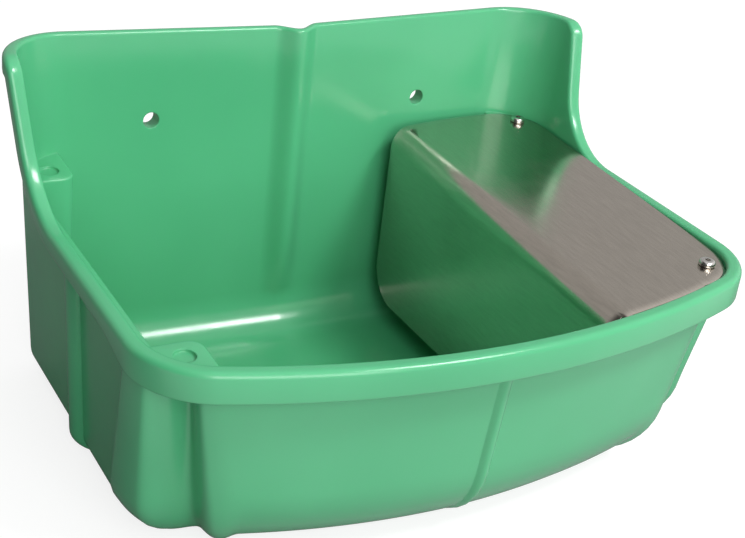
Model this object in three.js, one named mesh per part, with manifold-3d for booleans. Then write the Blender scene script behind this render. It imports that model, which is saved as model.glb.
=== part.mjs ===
// A wall-hung animal waterer: a moulded bowl, a bent sheet cover on its right side, and the float valve below it.
// Millimetres, +Z up, +X to the right as one faces the bowl. The wall is the plane Y = 0 and the front is towards -Y.
// Lengths here are worked out as depth (forward from the wall) and height (above the bowl's underside); the last
// lines lower everything so that the origin lies on the wall, midway between the two bolt holes.

import * as THREE from 'three';
import { mergeVertices } from 'three/addons/utils/BufferGeometryUtils.js';
import Module from 'manifold-3d';

const wasm = await Module();
wasm.setup();

const degree = Math.PI / 180;
const rightAngle = 90 * degree;

// General fits
const seatGap = 0.3;          // between two pieces that touch
const cutOverrun = 1;         // how far a cut runs past the face it opens
const roundSteps = 28;        // facets round a hole or shaft

// Bowl: walls
const wall = 3.5;
const floorThickness = 3.5;
const wallDraftSlope = 0.042;
const frontDraftSlope = 0.11;
const backDraftSlope = 0.015;

// Bowl: rim, with its flange and the skirt that hangs from it
const rimHeight = 169;
const rimHalfWidth = 231;
const rimDepth = 359;
const rimWidth = 11;
const frontArcRadius = 580;
const rimRearRadius = 57;
const rimFrontRadius = 60;
const rimInnerRound = 2.5;
const rimOuterRound = 4;
const roundKneeShare = 0.3;
const flangeThickness = 3.5;
const skirtThickness = 2.5;
const sideSkirtDepth = 12.5;
const frontSkirtDepth = 21;
const skirtDropStart = 230;
const skirtDropEnd = 286;

// Bowl: the ledge inside the rim, a little below the front posts, and the corners of the walls below it
const ledgeBelowRim = 9;
const ledgeFall = 1;
const ledgeWidth = 7.5;
const lowerRearRadius = 40;
const outerRearRadius = 14;
const frontCornerGrowthSlope = 0.225;

// Bowl: floor fillets, inside radii; they change towards the front posts
const sideFillet = 14;
const backFillet = 33;
const frontFillet = 57;
const frontEndFillet = 59;
const postSideFillet = 44;
const postFrontFillet = 49;
const postFilletLength = 43;
const postFilletShare = 0.8;
const leastCornerRadius = 5;
const wallKneeAboveRidgeFade = 4;

// Bowl: back wall and wings
const backHeight = 266;
const backFlange = 7.9;
const backBow = 6.65;
const backDip = 4.3;
const wingFlareSlope = 0.08;
const wingShoulderDepth = 48.5;
const wingShoulderRadius = 16;
const wingBendRadius = 60;
const wingLean = 16 * degree;

// Bowl: the hollow ridge up the middle of the back wall
const ridgeHalfWidth = 18.5;
const ridgeHeight = 9.3;
const ridgeFadeLow = 26;
const ridgeFadeHigh = 62;
const ridgePlaceShares = [0, 0.14, 0.3, 0.6, 0.85, 1];
const ridgeRiseShares = [1, 0.95, 0.8, 0.4, 0.1, 0];

// Bowl: side rib, front bead, and the column and flute at each front post
const ribDepth = 139;
const ribHalfWidth = 9;
const ribHeight = 7;
const beadHalfWidth = 5;
const beadHeight = 3;
const reliefPlaceShares = [-1, -0.72, -0.36, 0, 0.36, 0.72, 1];
const columnBulge = 12.3;
const columnRiseLength = 24;
const columnEndShare = 0.42;
const fluteDepth = 10;
const fluteDeepShare = 0.62;
const fluteEndShare = 0.86;

// Bowl: screw posts in the four corners, with a recess in each top
const rearPostFromRim = 17.5;
const rearPostDepth = 39;
const frontPostFromRim = 21;
const frontPostFromFront = 20.57;
const frontSeatAboveLedge = 2;
const seatSlope = 0.0417;
const postRound = 10;
const postWall = 15.5;
const postRecessRadius = 7;
const postRecessDepth = 2;

// Bowl: wall bolts and drain
const boltHoleX = 115.9;
const boltHoleBelowTop = 72;
const boltHoleRadius = 6.25;
const boltBossRadius = 14;
const drainFromFront = 159;
const drainRadius = 15;

// Cover
const sheet = 1.5;
const coverLegFromSide = 145;
const coverBendRadius = 16;
const coverSideGap = 1;
const coverFrontGap = 7;
const coverRearGap = 12;
const coverRearSweep = 11;
const coverRearRadius = 35;
const coverFrontRadius = 45;
const coverArcRadius = 650;
const coverLegFoot = 25;
const coverLegRound = 30;
const coverLegGap = 3;
const coverScrewHoleRadius = 3.4;

// Cover screws and their inserts
const screwHeadRadius = 6;
const screwHeadHeight = 4;
const screwHeadRound = 2.2;
const screwRadius = 2.7;
const screwLength = 13;
const screwRecessFlats = 4;
const screwRecessDepth = 2.2;
const insertRadius = 4.5;
const insertBore = 3;
const insertFlangeRadius = 6.6;
const insertFlangeThickness = 1.2;
const insertLength = 12.7;

// Inlet through the right wall
const inletDepth = 100;
const inletBelowRim = 37;
const inletPadRadius = 19;
const inletPadStand = 2.4;
const tailRadius = 10.3;
const tailBore = 6;
const tailBeyondPad = 28;
const tailHoleClearance = 0.45;
const collarRadius = 15;
const collarThickness = 4;
const sealThickness = 3;
const inletWasherThickness = 2;
const inletNutFlats = 30;
const inletNutThickness = 9;

// Valve barrel, nozzle and piston
const barrelRadius = 10.5;
const barrelBehindInlet = 12;
const barrelBeforeInlet = 50;
const barrelBore = 7.4;
const stemRadius = 9;
const chamberRadius = 6;
const barrelEndWall = 4;
const nozzleSeatFromRear = 33.5;
const nozzleStem = 9;
const nozzleFlange = 2.5;
const nozzleNose = 2.5;
const nozzleRadius = 5.9;
const nozzleNoseRadius = 3.4;
const nozzleOrifice = 1.8;
const pistonClearance = 0.4;
const pistonLength = 23.6;
const discRadius = 6.4;
const discThickness = 2.5;

// Lever and its pin
const pivotBehindFront = 4;
const noseLength = 14;
const noseRadius = 2.4;
const noseNeckHalf = 1.3;
const noseClearance = 0.35;
const noseHeadroom = 0.6;
const leverWidth = 8;
const leverHubRadius = 5.4;
const leverSwing = 20 * degree;
const leverDroop = 18 * degree;
const leverNeckLength = 12;
const leverNeckHalf = 4;
const socketRadius = 5;
const socketLength = 18;
const pinRadius = 2.5;
const pinHeadRadius = 4;
const pinHeadThickness = 1.5;
const pinBeyondClip = 1.2;
const earThickness = 4;
const earRadius = 7;
const earGap = 0.5;
const clipThickness = 1;
const clipRadius = 4.6;

// Float and what holds it
const floatRodRadius = 3;
const floatWidth = 56;
const floatHeight = 44;
const floatRound = 12;
const floatEdgeRound = 5;
const floatRearFromPivot = 63;
const floatFrontRoom = 47.5;
const floatWasherRadius = 9;
const floatWasherThickness = 1.2;
const smallNutFlats = 10;
const smallNutThickness = 5;
const rodBeyondNut = 4;

// Drain plug
const plugFlangeRadius = 19;
const plugFlangeThickness = 3;
const plugRingRadius = 12;
const plugRingHole = 7.5;
const plugRingThickness = 5;
const plugRingSink = 2;

// Sizes that follow from those above

const ledgeHeight = rimHeight - ledgeBelowRim;
const rimInnerHalf = rimHalfWidth - rimWidth;
const rimInnerDepth = rimDepth - rimWidth;
const lowerHalf = rimInnerHalf - ledgeWidth;
const lowerFront = rimInnerDepth - ledgeWidth;
const wallKneeHeight = ridgeFadeHigh + wallKneeAboveRidgeFade;

const rearPostX = rimInnerHalf - rearPostFromRim;
const frontPostX = rimInnerHalf - frontPostFromRim;
const frontArcDrop = (x) => frontArcRadius - rimWidth - Math.sqrt((frontArcRadius - rimWidth) ** 2 - x ** 2);
const frontPostDepth = rimInnerDepth - frontArcDrop(frontPostX) - frontPostFromFront;
const postSpots = [[rearPostX, rearPostDepth], [frontPostX, frontPostDepth]];
const frontSeatHeight = ledgeHeight + ledgeFall + frontSeatAboveLedge;
const rearSeatHeight = frontSeatHeight + seatSlope * (frontPostDepth - rearPostDepth);
const seatAt = (depth) => rearSeatHeight - seatSlope * (depth - rearPostDepth);
const coverTilt = Math.atan(seatSlope);
const insertBoreDepth = postRecessDepth + insertLength;
const boltHoleHeight = backHeight - boltHoleBelowTop;
const drainDepth = rimDepth - drainFromFront;
const coverLegX = rimHalfWidth - coverLegFromSide;

const inletHeight = rimHeight - inletBelowRim;
const inletWallX = lowerHalf - wallDraftSlope * (ledgeHeight - inletHeight);
const inletPadInnerX = inletWallX - inletPadStand;
const inletPadOuterX = inletWallX + wall + inletPadStand;
const barrelX = (coverLegX + lowerHalf) / 2;
const barrelRear = inletDepth - barrelBehindInlet;
const barrelFront = inletDepth + barrelBeforeInlet;
const nozzleSeat = barrelRear + nozzleSeatFromRear;
const nozzleTip = nozzleSeat + nozzleFlange + nozzleNose;
const pivotDepth = barrelFront - pivotBehindFront;
const pivotHeight = inletHeight - noseLength;
const pistonTravel = 2 * noseLength * Math.sin(leverSwing / 2);
const discRear = nozzleTip + pistonTravel + seatGap;
const pistonRear = discRear + discThickness + seatGap;
const earInner = leverWidth / 2 + earGap;
const floatLength = lowerFront - floatFrontRoom - pivotDepth - floatRearFromPivot;
const floatCentre = floatRearFromPivot + floatLength / 2;

// Closed solids from three.js geometry, and how they are joined and cut

function toSolid(geometry) {
  const bare = geometry.index ? geometry.toNonIndexed() : geometry.clone();
  bare.deleteAttribute('normal');
  bare.deleteAttribute('uv');
  const merged = mergeVertices(bare);
  const mesh = new wasm.Mesh({
    numProp: 3,
    vertProperties: new Float32Array(merged.attributes.position.array),
    triVerts: new Uint32Array(merged.index.array),
  });
  return new wasm.Manifold(mesh);
}

function fromSolid(solid) {
  const mesh = solid.getMesh();
  const geometry = new THREE.BufferGeometry();
  geometry.setAttribute('position', new THREE.BufferAttribute(new Float32Array(mesh.vertProperties), 3));
  geometry.setIndex(new THREE.BufferAttribute(new Uint32Array(mesh.triVerts), 1));
  return geometry;
}

function joined(first, ...rest) {
  return fromSolid(rest.reduce((solid, geometry) => solid.add(toSolid(geometry)), toSolid(first)));
}

function cut(first, ...rest) {
  return fromSolid(rest.reduce((solid, geometry) => solid.subtract(toSolid(geometry)), toSolid(first)));
}

function common(first, ...rest) {
  return fromSolid(rest.reduce((solid, geometry) => solid.intersect(toSolid(geometry)), toSolid(first)));
}

// A prism of an outline drawn in X and Y, standing from Z = 0 to the height
function prism(points, height, holes = []) {
  const shape = new THREE.Shape(points);
  shape.holes.push(...holes);
  return new THREE.ExtrudeGeometry(shape, { depth: height, bevelEnabled: false, curveSegments: roundSteps / 2 });
}

const box = (width, depth, height) => new THREE.BoxGeometry(width, depth, height);

function rod(radius, length, steps = roundSteps) {
  return new THREE.CylinderGeometry(radius, radius, length, steps).rotateX(rightAngle).translate(0, 0, length / 2);
}

// A solid turned about +Z from a profile of [radius, height] points that starts and ends on the axis or closes
function turned(points, steps = roundSteps) {
  const profile = points.map(([radius, height]) => new THREE.Vector2(radius, height));
  return new THREE.LatheGeometry(profile, steps).rotateX(rightAngle);
}

function ring(inner, outer, thickness) {
  return turned([[inner, 0], [outer, 0], [outer, thickness], [inner, thickness], [inner, 0]]);
}

function hexagon(flats) {
  const corner = flats / 2 / Math.cos(30 * degree);
  return [0, 1, 2, 3, 4, 5].map((i) => {
    const angle = i * 60 * degree;
    return new THREE.Vector2(corner * Math.cos(angle), corner * Math.sin(angle));
  });
}

function hexNut(flats, thickness, bore) {
  return prism(hexagon(flats), thickness, [new THREE.Path().absarc(0, 0, bore, 0, 2 * Math.PI, true)]);
}

// A solid drawn along +Z is turned to run to the right, or forward from the wall, and then put in its place
const toRight = (geometry) => geometry.rotateY(rightAngle);
const toFront = (geometry) => geometry.rotateX(rightAngle);
const put = (geometry, x, depth, height) => geometry.translate(x, -depth, height);

// A closed skin through loops of equally many points [x, depth, height], closed by a fan at each end
function skin(loops, firstCentre, lastCentre) {
  const count = loops[0].length;
  const points = [...loops.flat(), firstCentre, lastCentre];
  const index = [];
  const firstFan = loops.length * count;
  for (let i = 0; i < count; i += 1) {
    const next = (i + 1) % count;
    for (let row = 0; row + 1 < loops.length; row += 1) {
      const near = row * count;
      const far = near + count;
      index.push(near + i, far + i, near + next);
      index.push(near + next, far + i, far + next);
    }
    index.push(firstFan, i, next);
    index.push(firstFan + 1, firstFan - count + next, firstFan - count + i);
  }
  const geometry = new THREE.BufferGeometry();
  const positions = points.flatMap(([x, depth, height]) => [x, -depth, height]);
  geometry.setAttribute('position', new THREE.Float32BufferAttribute(positions, 3));
  geometry.setIndex(index);
  return geometry;
}

const mix = (a, b, share) => a + (b - a) * share;
const clampShare = (value) => Math.min(1, Math.max(0, value));
const smoothShare = (value) => clampShare(value) ** 2 * (3 - 2 * clampShare(value));
const steps = (count) => Array.from({ length: count }, (_, i) => (i + 1) / count);
const stepsFromZero = (count) => [0, ...steps(count)];

// Bowl: a plan is a box with four round corners and a curved front

function planCorner(plan) {
  const arc = plan.arc ?? frontArcRadius - (rimDepth - plan.front);
  const centre = plan.front - arc;
  const x = plan.half - plan.frontRadius;
  const depth = centre + Math.sqrt((arc - plan.frontRadius) ** 2 - x ** 2);
  return { arc, centre, x, depth, turn: rightAngle - Math.asin(x / (arc - plan.frontRadius)) };
}

const flareAt = (height) => wingFlareSlope * Math.max(0, height - rimHeight);
const backInnerAt = (height) => backFlange + backDraftSlope * (backHeight - height);
const bowAt = (x) => backBow * (1 - Math.min(1, Math.abs(x) / rimHalfWidth));

const lipPlan = (height) => ({
  half: rimHalfWidth + flareAt(height),
  back: 0,
  front: rimDepth,
  rearRadius: rimRearRadius,
  frontRadius: rimFrontRadius,
});

// The inside wall above the ledge, set outward by the offset
const upperPlan = (height, offset) => ({
  half: rimInnerHalf + flareAt(height) + offset,
  back: backInnerAt(height) - offset,
  front: rimInnerDepth + offset,
  rearRadius: rimRearRadius - rimWidth + offset,
  frontRadius: rimFrontRadius - rimWidth + offset,
});

// The inside wall below the ledge, each side at its own height and set in by its own share of its fillet
function lowerPlan(heights, insets, offset, rearRadius) {
  const rearShrink = (insets.side + insets.back) / 2;
  const frontShrink = (insets.side + insets.front) / 2;
  const frontGrowth = frontCornerGrowthSlope * (ledgeHeight - (heights.side + heights.front) / 2);
  const frontRadius = rimFrontRadius - rimWidth - ledgeWidth + offset;
  return {
    half: lowerHalf - wallDraftSlope * (ledgeHeight - heights.side) - insets.side + offset,
    back: backInnerAt(heights.back) + insets.back - offset,
    front: lowerFront - frontDraftSlope * (ledgeHeight - heights.front) - insets.front + offset,
    rearRadius: Math.max(leastCornerRadius, rearRadius - rearShrink),
    frontRadius: Math.max(leastCornerRadius, frontRadius + frontGrowth - frontShrink),
  };
}

// Bowl: stations round the plan, from the middle of the back round the right side to the middle of the front

const rimCorner = planCorner(lipPlan(rimHeight));
const sideStart = rimRearRadius;
const sideEnd = rimCorner.depth;
const wingShoulderEnd = wingShoulderDepth + wingShoulderRadius * Math.cos(wingLean);
const wingShoulderLow = backHeight - wingShoulderRadius * (1 - Math.sin(wingLean));
const wingBendTop = rimHeight + wingBendRadius * (1 - Math.sin(wingLean));
const wingBendStart = wingShoulderEnd + (wingShoulderLow - wingBendTop) * Math.tan(wingLean);
const wingBendEnd = wingBendStart + wingBendRadius * Math.cos(wingLean);

const shoulderShares = [0.6, 1];
const bendShares = [0.25, 0.5, 0.75];
const levelShares = [0.35, 0.72, 0.82, 0.91];
const backPlaceShares = [0.12, 0.38, 0.7, 1];
const frontPlaceShares = [0.8, 0.6, 0.4, 0.2];
const rearCornerSteps = 8;
const frontCornerSteps = 14;

const sideDepths = [
  ...shoulderShares.map((share) => mix(sideStart, wingShoulderEnd, share)),
  (wingShoulderEnd + wingBendStart) / 2,
  wingBendStart,
  ...bendShares.map((share) => wingBendEnd - wingBendRadius * Math.cos(mix(wingLean, rightAngle, share))),
  ...reliefPlaceShares.map((share) => ribDepth + share * ribHalfWidth),
  ...levelShares.map((share) => mix(ribDepth + ribHalfWidth, sideEnd, share)),
];

const stations = [
  ...ridgePlaceShares.map((share) => ({ zone: 'back', x: share * ridgeHalfWidth })),
  ...backPlaceShares.map((share) => ({ zone: 'back', share })),
  ...steps(rearCornerSteps).map((share) => ({ zone: 'rear', share })),
  ...sideDepths.map((depth) => ({ zone: 'side', depth })),
  ...stepsFromZero(frontCornerSteps).map((share) => ({ zone: 'corner', share })),
  ...frontPlaceShares.map((share) => ({ zone: 'front', share })),
  ...reliefPlaceShares.filter((share) => share <= 0).map((share) => ({ zone: 'front', x: -share * beadHalfWidth })),
];

function ridgeAt(x, height) {
  const share = Math.abs(x) / ridgeHalfWidth;
  const i = ridgePlaceShares.findIndex((value) => value > share) - 1;
  if (i < 0) return 0;
  const along = (share - ridgePlaceShares[i]) / (ridgePlaceShares[i + 1] - ridgePlaceShares[i]);
  const rise = mix(ridgeRiseShares[i], ridgeRiseShares[i + 1], along);
  return ridgeHeight * rise * smoothShare((height - ridgeFadeLow) / (ridgeFadeHigh - ridgeFadeLow));
}

// Where a station lies on a plan, and the way out of the wall there
function onPlan(station, plan, height) {
  const corner = planCorner(plan);
  const rearX = plan.half - plan.rearRadius;
  const rearDepth = plan.back + plan.rearRadius;
  if (station.zone === 'back') {
    const x = station.x ?? mix(ridgeHalfWidth, rearX, station.share);
    return { x, depth: plan.back + bowAt(x) + ridgeAt(x, height), outX: 0, outDepth: -1 };
  }
  if (station.zone === 'rear') {
    const outX = Math.sin(station.share * rightAngle);
    const outDepth = -Math.cos(station.share * rightAngle);
    const x = rearX + plan.rearRadius * outX;
    return { x, depth: rearDepth + plan.rearRadius * outDepth + bowAt(x), outX, outDepth };
  }
  if (station.zone === 'side') {
    const reach = (sideEnd - sideStart) / 3;
    const nearRear = clampShare(1 - (station.depth - sideStart) / reach);
    const nearFront = clampShare(1 - (sideEnd - station.depth) / reach);
    const shift = nearRear * (rearDepth - sideStart) + nearFront * (corner.depth - sideEnd);
    return { x: plan.half, depth: station.depth + shift, outX: 1, outDepth: 0 };
  }
  if (station.zone === 'corner') {
    const outX = Math.cos(station.share * corner.turn);
    const outDepth = Math.sin(station.share * corner.turn);
    return { x: corner.x + plan.frontRadius * outX, depth: corner.depth + plan.frontRadius * outDepth, outX, outDepth };
  }
  const x = station.x ?? station.share * corner.arc * Math.cos(corner.turn);
  const outX = x / corner.arc;
  const outDepth = Math.sqrt(1 - outX ** 2);
  return { x, depth: corner.centre + corner.arc * outDepth, outX, outDepth };
}

// What stands out of the outer wall, or is drawn into both faces, at a station

function ribAt(station) {
  const offset = station.zone === 'side' ? Math.abs(station.depth - ribDepth) / ribHalfWidth : 1;
  return offset < 1 ? ribHeight * Math.sqrt(1 - offset ** 2) : 0;
}

function beadAt(station) {
  const isBead = station.zone === 'front' && station.x !== undefined;
  return isBead ? beadHeight * Math.cos(station.x / beadHalfWidth * rightAngle) : 0;
}

// The corner swells to a column at its side end, then falls to a flute and comes back to the front wall
function cornerReliefAt(station) {
  if (station.zone === 'side') {
    return columnBulge * smoothShare(1 - (sideEnd - station.depth) / columnRiseLength);
  }
  if (station.zone !== 'corner') return 0;
  const fall = smoothShare((station.share - columnEndShare) / (fluteDeepShare - columnEndShare));
  const rise = smoothShare((station.share - fluteDeepShare) / (fluteEndShare - fluteDeepShare));
  return mix(columnBulge, -fluteDepth, fall) + fluteDepth * rise;
}

const allSides = (value) => ({ side: value, back: value, front: value });
const pushed = (spot, amount, height) => (
  [spot.x + spot.outX * amount, spot.depth + spot.outDepth * amount, height]
);

// One point of a floor fillet: the turn is 0 at the wall and a right angle at the floor
function filletPoint(station, turn, radii, baseHeight, offset, rearRadius, relief) {
  const rise = 1 - Math.sin(turn);
  const run = 1 - Math.cos(turn);
  const heights = {};
  const insets = {};
  for (const side of ['side', 'back', 'front']) {
    heights[side] = baseHeight + radii[side] * rise;
    insets[side] = radii[side] * run;
  }
  const spot = onPlan(station, lowerPlan(heights, insets, offset, rearRadius), heights.back);
  const lengthways = spot.outDepth > 0 ? heights.front : heights.back;
  const height = spot.outX ** 2 * heights.side + spot.outDepth ** 2 * lengthways;
  return pushed(spot, relief * (1 - run), height);
}

function lowerPoint(station, height, offset, rearRadius, relief) {
  const plan = lowerPlan(allSides(height), allSides(0), offset, rearRadius);
  return pushed(onPlan(station, plan, height), relief, height);
}

function upperPoint(station, height, offset) {
  return pushed(onPlan(station, upperPlan(height, offset), height), 0, height);
}

// The rim's height at a spot, and the way down into the wall from its top, as [depth, height]
function rimAt({ x, depth }) {
  const dip = backDip * (1 - Math.min(1, Math.abs(x) / rimHalfWidth));
  if (depth <= wingShoulderDepth) {
    return { height: backHeight - dip, down: [0, -1] };
  }
  if (depth <= wingShoulderEnd) {
    const angle = Math.asin((depth - wingShoulderDepth) / wingShoulderRadius);
    const height = backHeight - dip - wingShoulderRadius * (1 - Math.cos(angle));
    return { height, down: [-Math.sin(angle), -Math.cos(angle)] };
  }
  if (depth <= wingBendStart) {
    const height = wingShoulderLow - (depth - wingShoulderEnd) / Math.tan(wingLean);
    return { height, down: [-Math.cos(wingLean), -Math.sin(wingLean)] };
  }
  if (depth < wingBendEnd) {
    const angle = Math.acos((wingBendEnd - depth) / wingBendRadius);
    const height = rimHeight + wingBendRadius * (1 - Math.sin(angle));
    return { height, down: [-Math.cos(angle), -Math.sin(angle)] };
  }
  return { height: rimHeight, down: [0, -1] };
}

// The floor fillet's inside radii at a station, with a thickness added for the outer face
function filletRadii(station, thickness) {
  let side = sideFillet;
  let front = frontFillet;
  if (station.zone === 'side') {
    const share = smoothShare(1 - (sideEnd - station.depth) / postFilletLength);
    side = mix(sideFillet, postSideFillet, share);
  }
  if (station.zone === 'corner') {
    const share = smoothShare((station.share - postFilletShare) / (1 - postFilletShare));
    side = postSideFillet;
    front = mix(postFrontFillet, frontEndFillet, share);
  }
  if (station.zone === 'front') {
    const share = station.x === undefined ? station.share : station.x / rimCorner.x;
    front = mix(frontFillet, frontEndFillet, share);
  }
  return { side: side + thickness, back: backFillet + thickness, front: front + thickness };
}

const filletTurns = [1, 0.75, 0.5, 0.25, 0].map((share) => share * rightAngle);

function innerWallPoints(station, offset) {
  const flute = Math.min(0, cornerReliefAt(station));
  const radii = filletRadii(station, 0);
  const fillet = filletTurns.map((turn) => (
    filletPoint(station, turn, radii, floorThickness - offset, offset, lowerRearRadius, flute)
  ));
  const knee = lowerPoint(station, wallKneeHeight, offset, lowerRearRadius, flute);
  const ledgeInner = lowerPoint(station, ledgeHeight - offset, offset, lowerRearRadius, flute);
  return [...fillet, knee, ledgeInner, upperPoint(station, ledgeHeight + ledgeFall, offset)];
}

// The bowl's section at a station, from the floor inside, over the rim, to the underside
function bowlSection(station) {
  const rim = rimAt(onPlan(station, lipPlan(rimHeight), rimHeight));
  const lip = onPlan(station, lipPlan(rim.height), rim.height);
  const edge = onPlan(station, upperPlan(rim.height, 0), rim.height);
  const width = Math.hypot(lip.x - edge.x, lip.depth - edge.depth);
  const onRim = (out, drop) => [
    mix(edge.x, lip.x, out / width),
    mix(edge.depth, lip.depth, out / width) + drop * rim.down[0],
    rim.height + drop * rim.down[1],
  ];
  const skirtShare = smoothShare((lip.depth - skirtDropStart) / (skirtDropEnd - skirtDropStart));
  const skirtDepth = mix(sideSkirtDepth, frontSkirtDepth, skirtShare);
  const relief = ribAt(station) + beadAt(station) + cornerReliefAt(station);
  return [
    ...innerWallPoints(station, 0),
    onRim(0, rimInnerRound),
    onRim(roundKneeShare * rimInnerRound, roundKneeShare * rimInnerRound),
    onRim(rimInnerRound, 0),
    onRim(width - rimOuterRound, 0),
    onRim(width - roundKneeShare * rimOuterRound, roundKneeShare * rimOuterRound),
    onRim(width, rimOuterRound),
    onRim(width, skirtDepth),
    onRim(width - skirtThickness, skirtDepth),
    onRim(width - skirtThickness, flangeThickness),
    onRim(wall, flangeThickness),
    upperPoint(station, ledgeHeight + ledgeFall, wall),
    lowerPoint(station, ledgeHeight - wall, wall, outerRearRadius, relief),
    lowerPoint(station, wallKneeHeight, wall, outerRearRadius, relief),
    ...filletTurns.toReversed().map((turn) => (
      filletPoint(station, turn, filletRadii(station, wall), 0, wall, outerRearRadius, relief)
    )),
  ];
}

// All loops of a section round the whole plan: the right half as drawn, then its mirror image
function loopsOf(section) {
  const right = stations.map(section);
  const mirror = ([x, depth, height]) => [-x, depth, height];
  const left = right.slice(1, -1).reverse().map((points) => points.map(mirror));
  const round = [...right, ...left];
  return round[0].map((_, row) => round.map((points) => points[row]));
}

// The space that the posts may fill: the bowl's inside with half of its wall
function postSpace() {
  const offset = wall / 2;
  const top = rearSeatHeight + wall;
  const loops = loopsOf((station) => [...innerWallPoints(station, offset), upperPoint(station, top, offset)]);
  return skin(loops, [0, drainDepth, floorThickness - offset], [0, drainDepth, top]);
}

// A screw post in a corner, out to the rim: its free corner is round and its top slopes with the cover
function cornerPost(side, innerX, freeDepth, wallDepth) {
  const outerX = rimHalfWidth;
  const towardsWall = Math.sign(wallDepth - freeDepth);
  const corner = stepsFromZero(6).map((share) => [
    innerX + postRound * (1 - Math.cos(share * rightAngle)),
    freeDepth + towardsWall * postRound * (1 - Math.sin(share * rightAngle)),
  ]);
  const outline = [[innerX, wallDepth], ...corner, [outerX, freeDepth], [outerX, wallDepth]];
  const points = outline.map(([x, depth]) => new THREE.Vector2(side * x, -depth));
  const geometry = prism(points, 1);
  const positions = geometry.attributes.position;
  for (let i = 0; i < positions.count; i += 1) {
    const top = seatAt(-positions.getY(i));
    positions.setZ(i, positions.getZ(i) > 0 ? top : floorThickness / 2);
  }
  return geometry;
}

function bowlGeometry() {
  const space = postSpace();
  const additions = [];
  const cuts = [];
  for (const side of [-1, 1]) {
    additions.push(common(cornerPost(side, rearPostX - postWall, rearPostDepth + postWall, 0), space));
    additions.push(common(cornerPost(side, frontPostX - postWall, frontPostDepth - postWall, rimDepth), space));
    const boss = rod(boltBossRadius, backInnerAt(boltHoleHeight) + bowAt(boltHoleX) - wall / 2);
    additions.push(put(toFront(boss), side * boltHoleX, 0, boltHoleHeight));
    const hole = rod(boltHoleRadius, backFlange + backBow + 3 * wall);
    cuts.push(put(toFront(hole), side * boltHoleX, -cutOverrun, boltHoleHeight));
    for (const [x, depth] of postSpots) {
      const recess = rod(postRecessRadius, postRecessDepth + cutOverrun).translate(0, 0, -postRecessDepth);
      cuts.push(put(recess.rotateX(coverTilt), side * x, depth, seatAt(depth)));
    }
  }
  for (const [x, depth] of postSpots) {
    const bore = rod(insertRadius + seatGap, insertBoreDepth + cutOverrun).translate(0, 0, -insertBoreDepth);
    cuts.push(put(bore.rotateX(coverTilt), x, depth, seatAt(depth)));
  }
  const padLength = inletPadOuterX - inletPadInnerX;
  additions.push(put(toRight(rod(inletPadRadius, padLength)), inletPadInnerX, inletDepth, inletHeight));
  const inletHole = rod(tailRadius + tailHoleClearance, padLength + 2 * cutOverrun);
  cuts.push(put(toRight(inletHole), inletPadInnerX - cutOverrun, inletDepth, inletHeight));
  cuts.push(put(rod(drainRadius, floorThickness + 2 * cutOverrun), 0, drainDepth, -cutOverrun));
  const shell = skin(loopsOf(bowlSection).reverse(), [0, drainDepth, 0], [0, drainDepth, floorThickness]);
  return cut(joined(shell, ...additions), ...cuts);
}

// Cover, drawn on its own slope: its seat is Z = 0 and the rear screw is at Y = 0

const coverSpan = (frontPostDepth - rearPostDepth) / Math.cos(coverTilt);
const sheetTop = seatGap + sheet;

// A depth and a height as [forward, up] on the cover's slope
function onCover(depth, height) {
  const forward = depth - rearPostDepth;
  const up = height - rearSeatHeight;
  const cos = Math.cos(coverTilt);
  const sin = Math.sin(coverTilt);
  return [forward * cos - up * sin, forward * sin + up * cos];
}

const coverPlan = {
  half: rimInnerHalf - coverSideGap,
  back: backFlange + coverRearGap,
  front: rimInnerDepth - coverFrontGap,
  rearRadius: coverRearRadius,
  frontRadius: coverFrontRadius,
  arc: coverArcRadius,
};

function coverOutline() {
  const { half, back, rearRadius, frontRadius } = coverPlan;
  const corner = planCorner(coverPlan);
  const rearX = half - rearRadius;
  const rear = stepsFromZero(6).map((share) => [
    mix(coverLegX, rearX, share),
    back + coverRearSweep * (1 - share) ** 2,
  ]);
  const rearCorner = steps(6).map((share) => [
    rearX + rearRadius * Math.sin(share * rightAngle),
    back + rearRadius * (1 - Math.cos(share * rightAngle)),
  ]);
  const frontCorner = stepsFromZero(8).map((share) => [
    corner.x + frontRadius * Math.cos(share * corner.turn),
    corner.depth + frontRadius * Math.sin(share * corner.turn),
  ]);
  const lastX = frontCorner.at(-1)[0];
  const front = steps(6).map((share) => {
    const x = mix(lastX, coverLegX, share);
    return [x, corner.centre + Math.sqrt(corner.arc ** 2 - x ** 2)];
  });
  const left = [[coverLegX - cutOverrun, front.at(-1)[1]], [coverLegX - cutOverrun, rear[0][1]]];
  return [...rear, ...rearCorner, ...frontCorner, ...front, ...left].map(([x, depth]) => (
    new THREE.Vector2(x, -onCover(depth, rearSeatHeight)[0])
  ));
}

// How far forward the bowl's inside reaches at the leg, at a height
function frontWallAt(height) {
  const fillet = mix(frontFillet, frontEndFillet, coverLegX / rimCorner.x);
  const filletTop = floorThickness + fillet;
  const wallDepth = lowerFront - frontDraftSlope * (ledgeHeight - height);
  const arc = frontArcRadius - (rimDepth - wallDepth);
  const drop = Math.max(0, filletTop - height);
  const filletInset = fillet - Math.sqrt(fillet ** 2 - drop ** 2);
  return wallDepth - arc + Math.sqrt(arc ** 2 - coverLegX ** 2) - filletInset;
}

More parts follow.
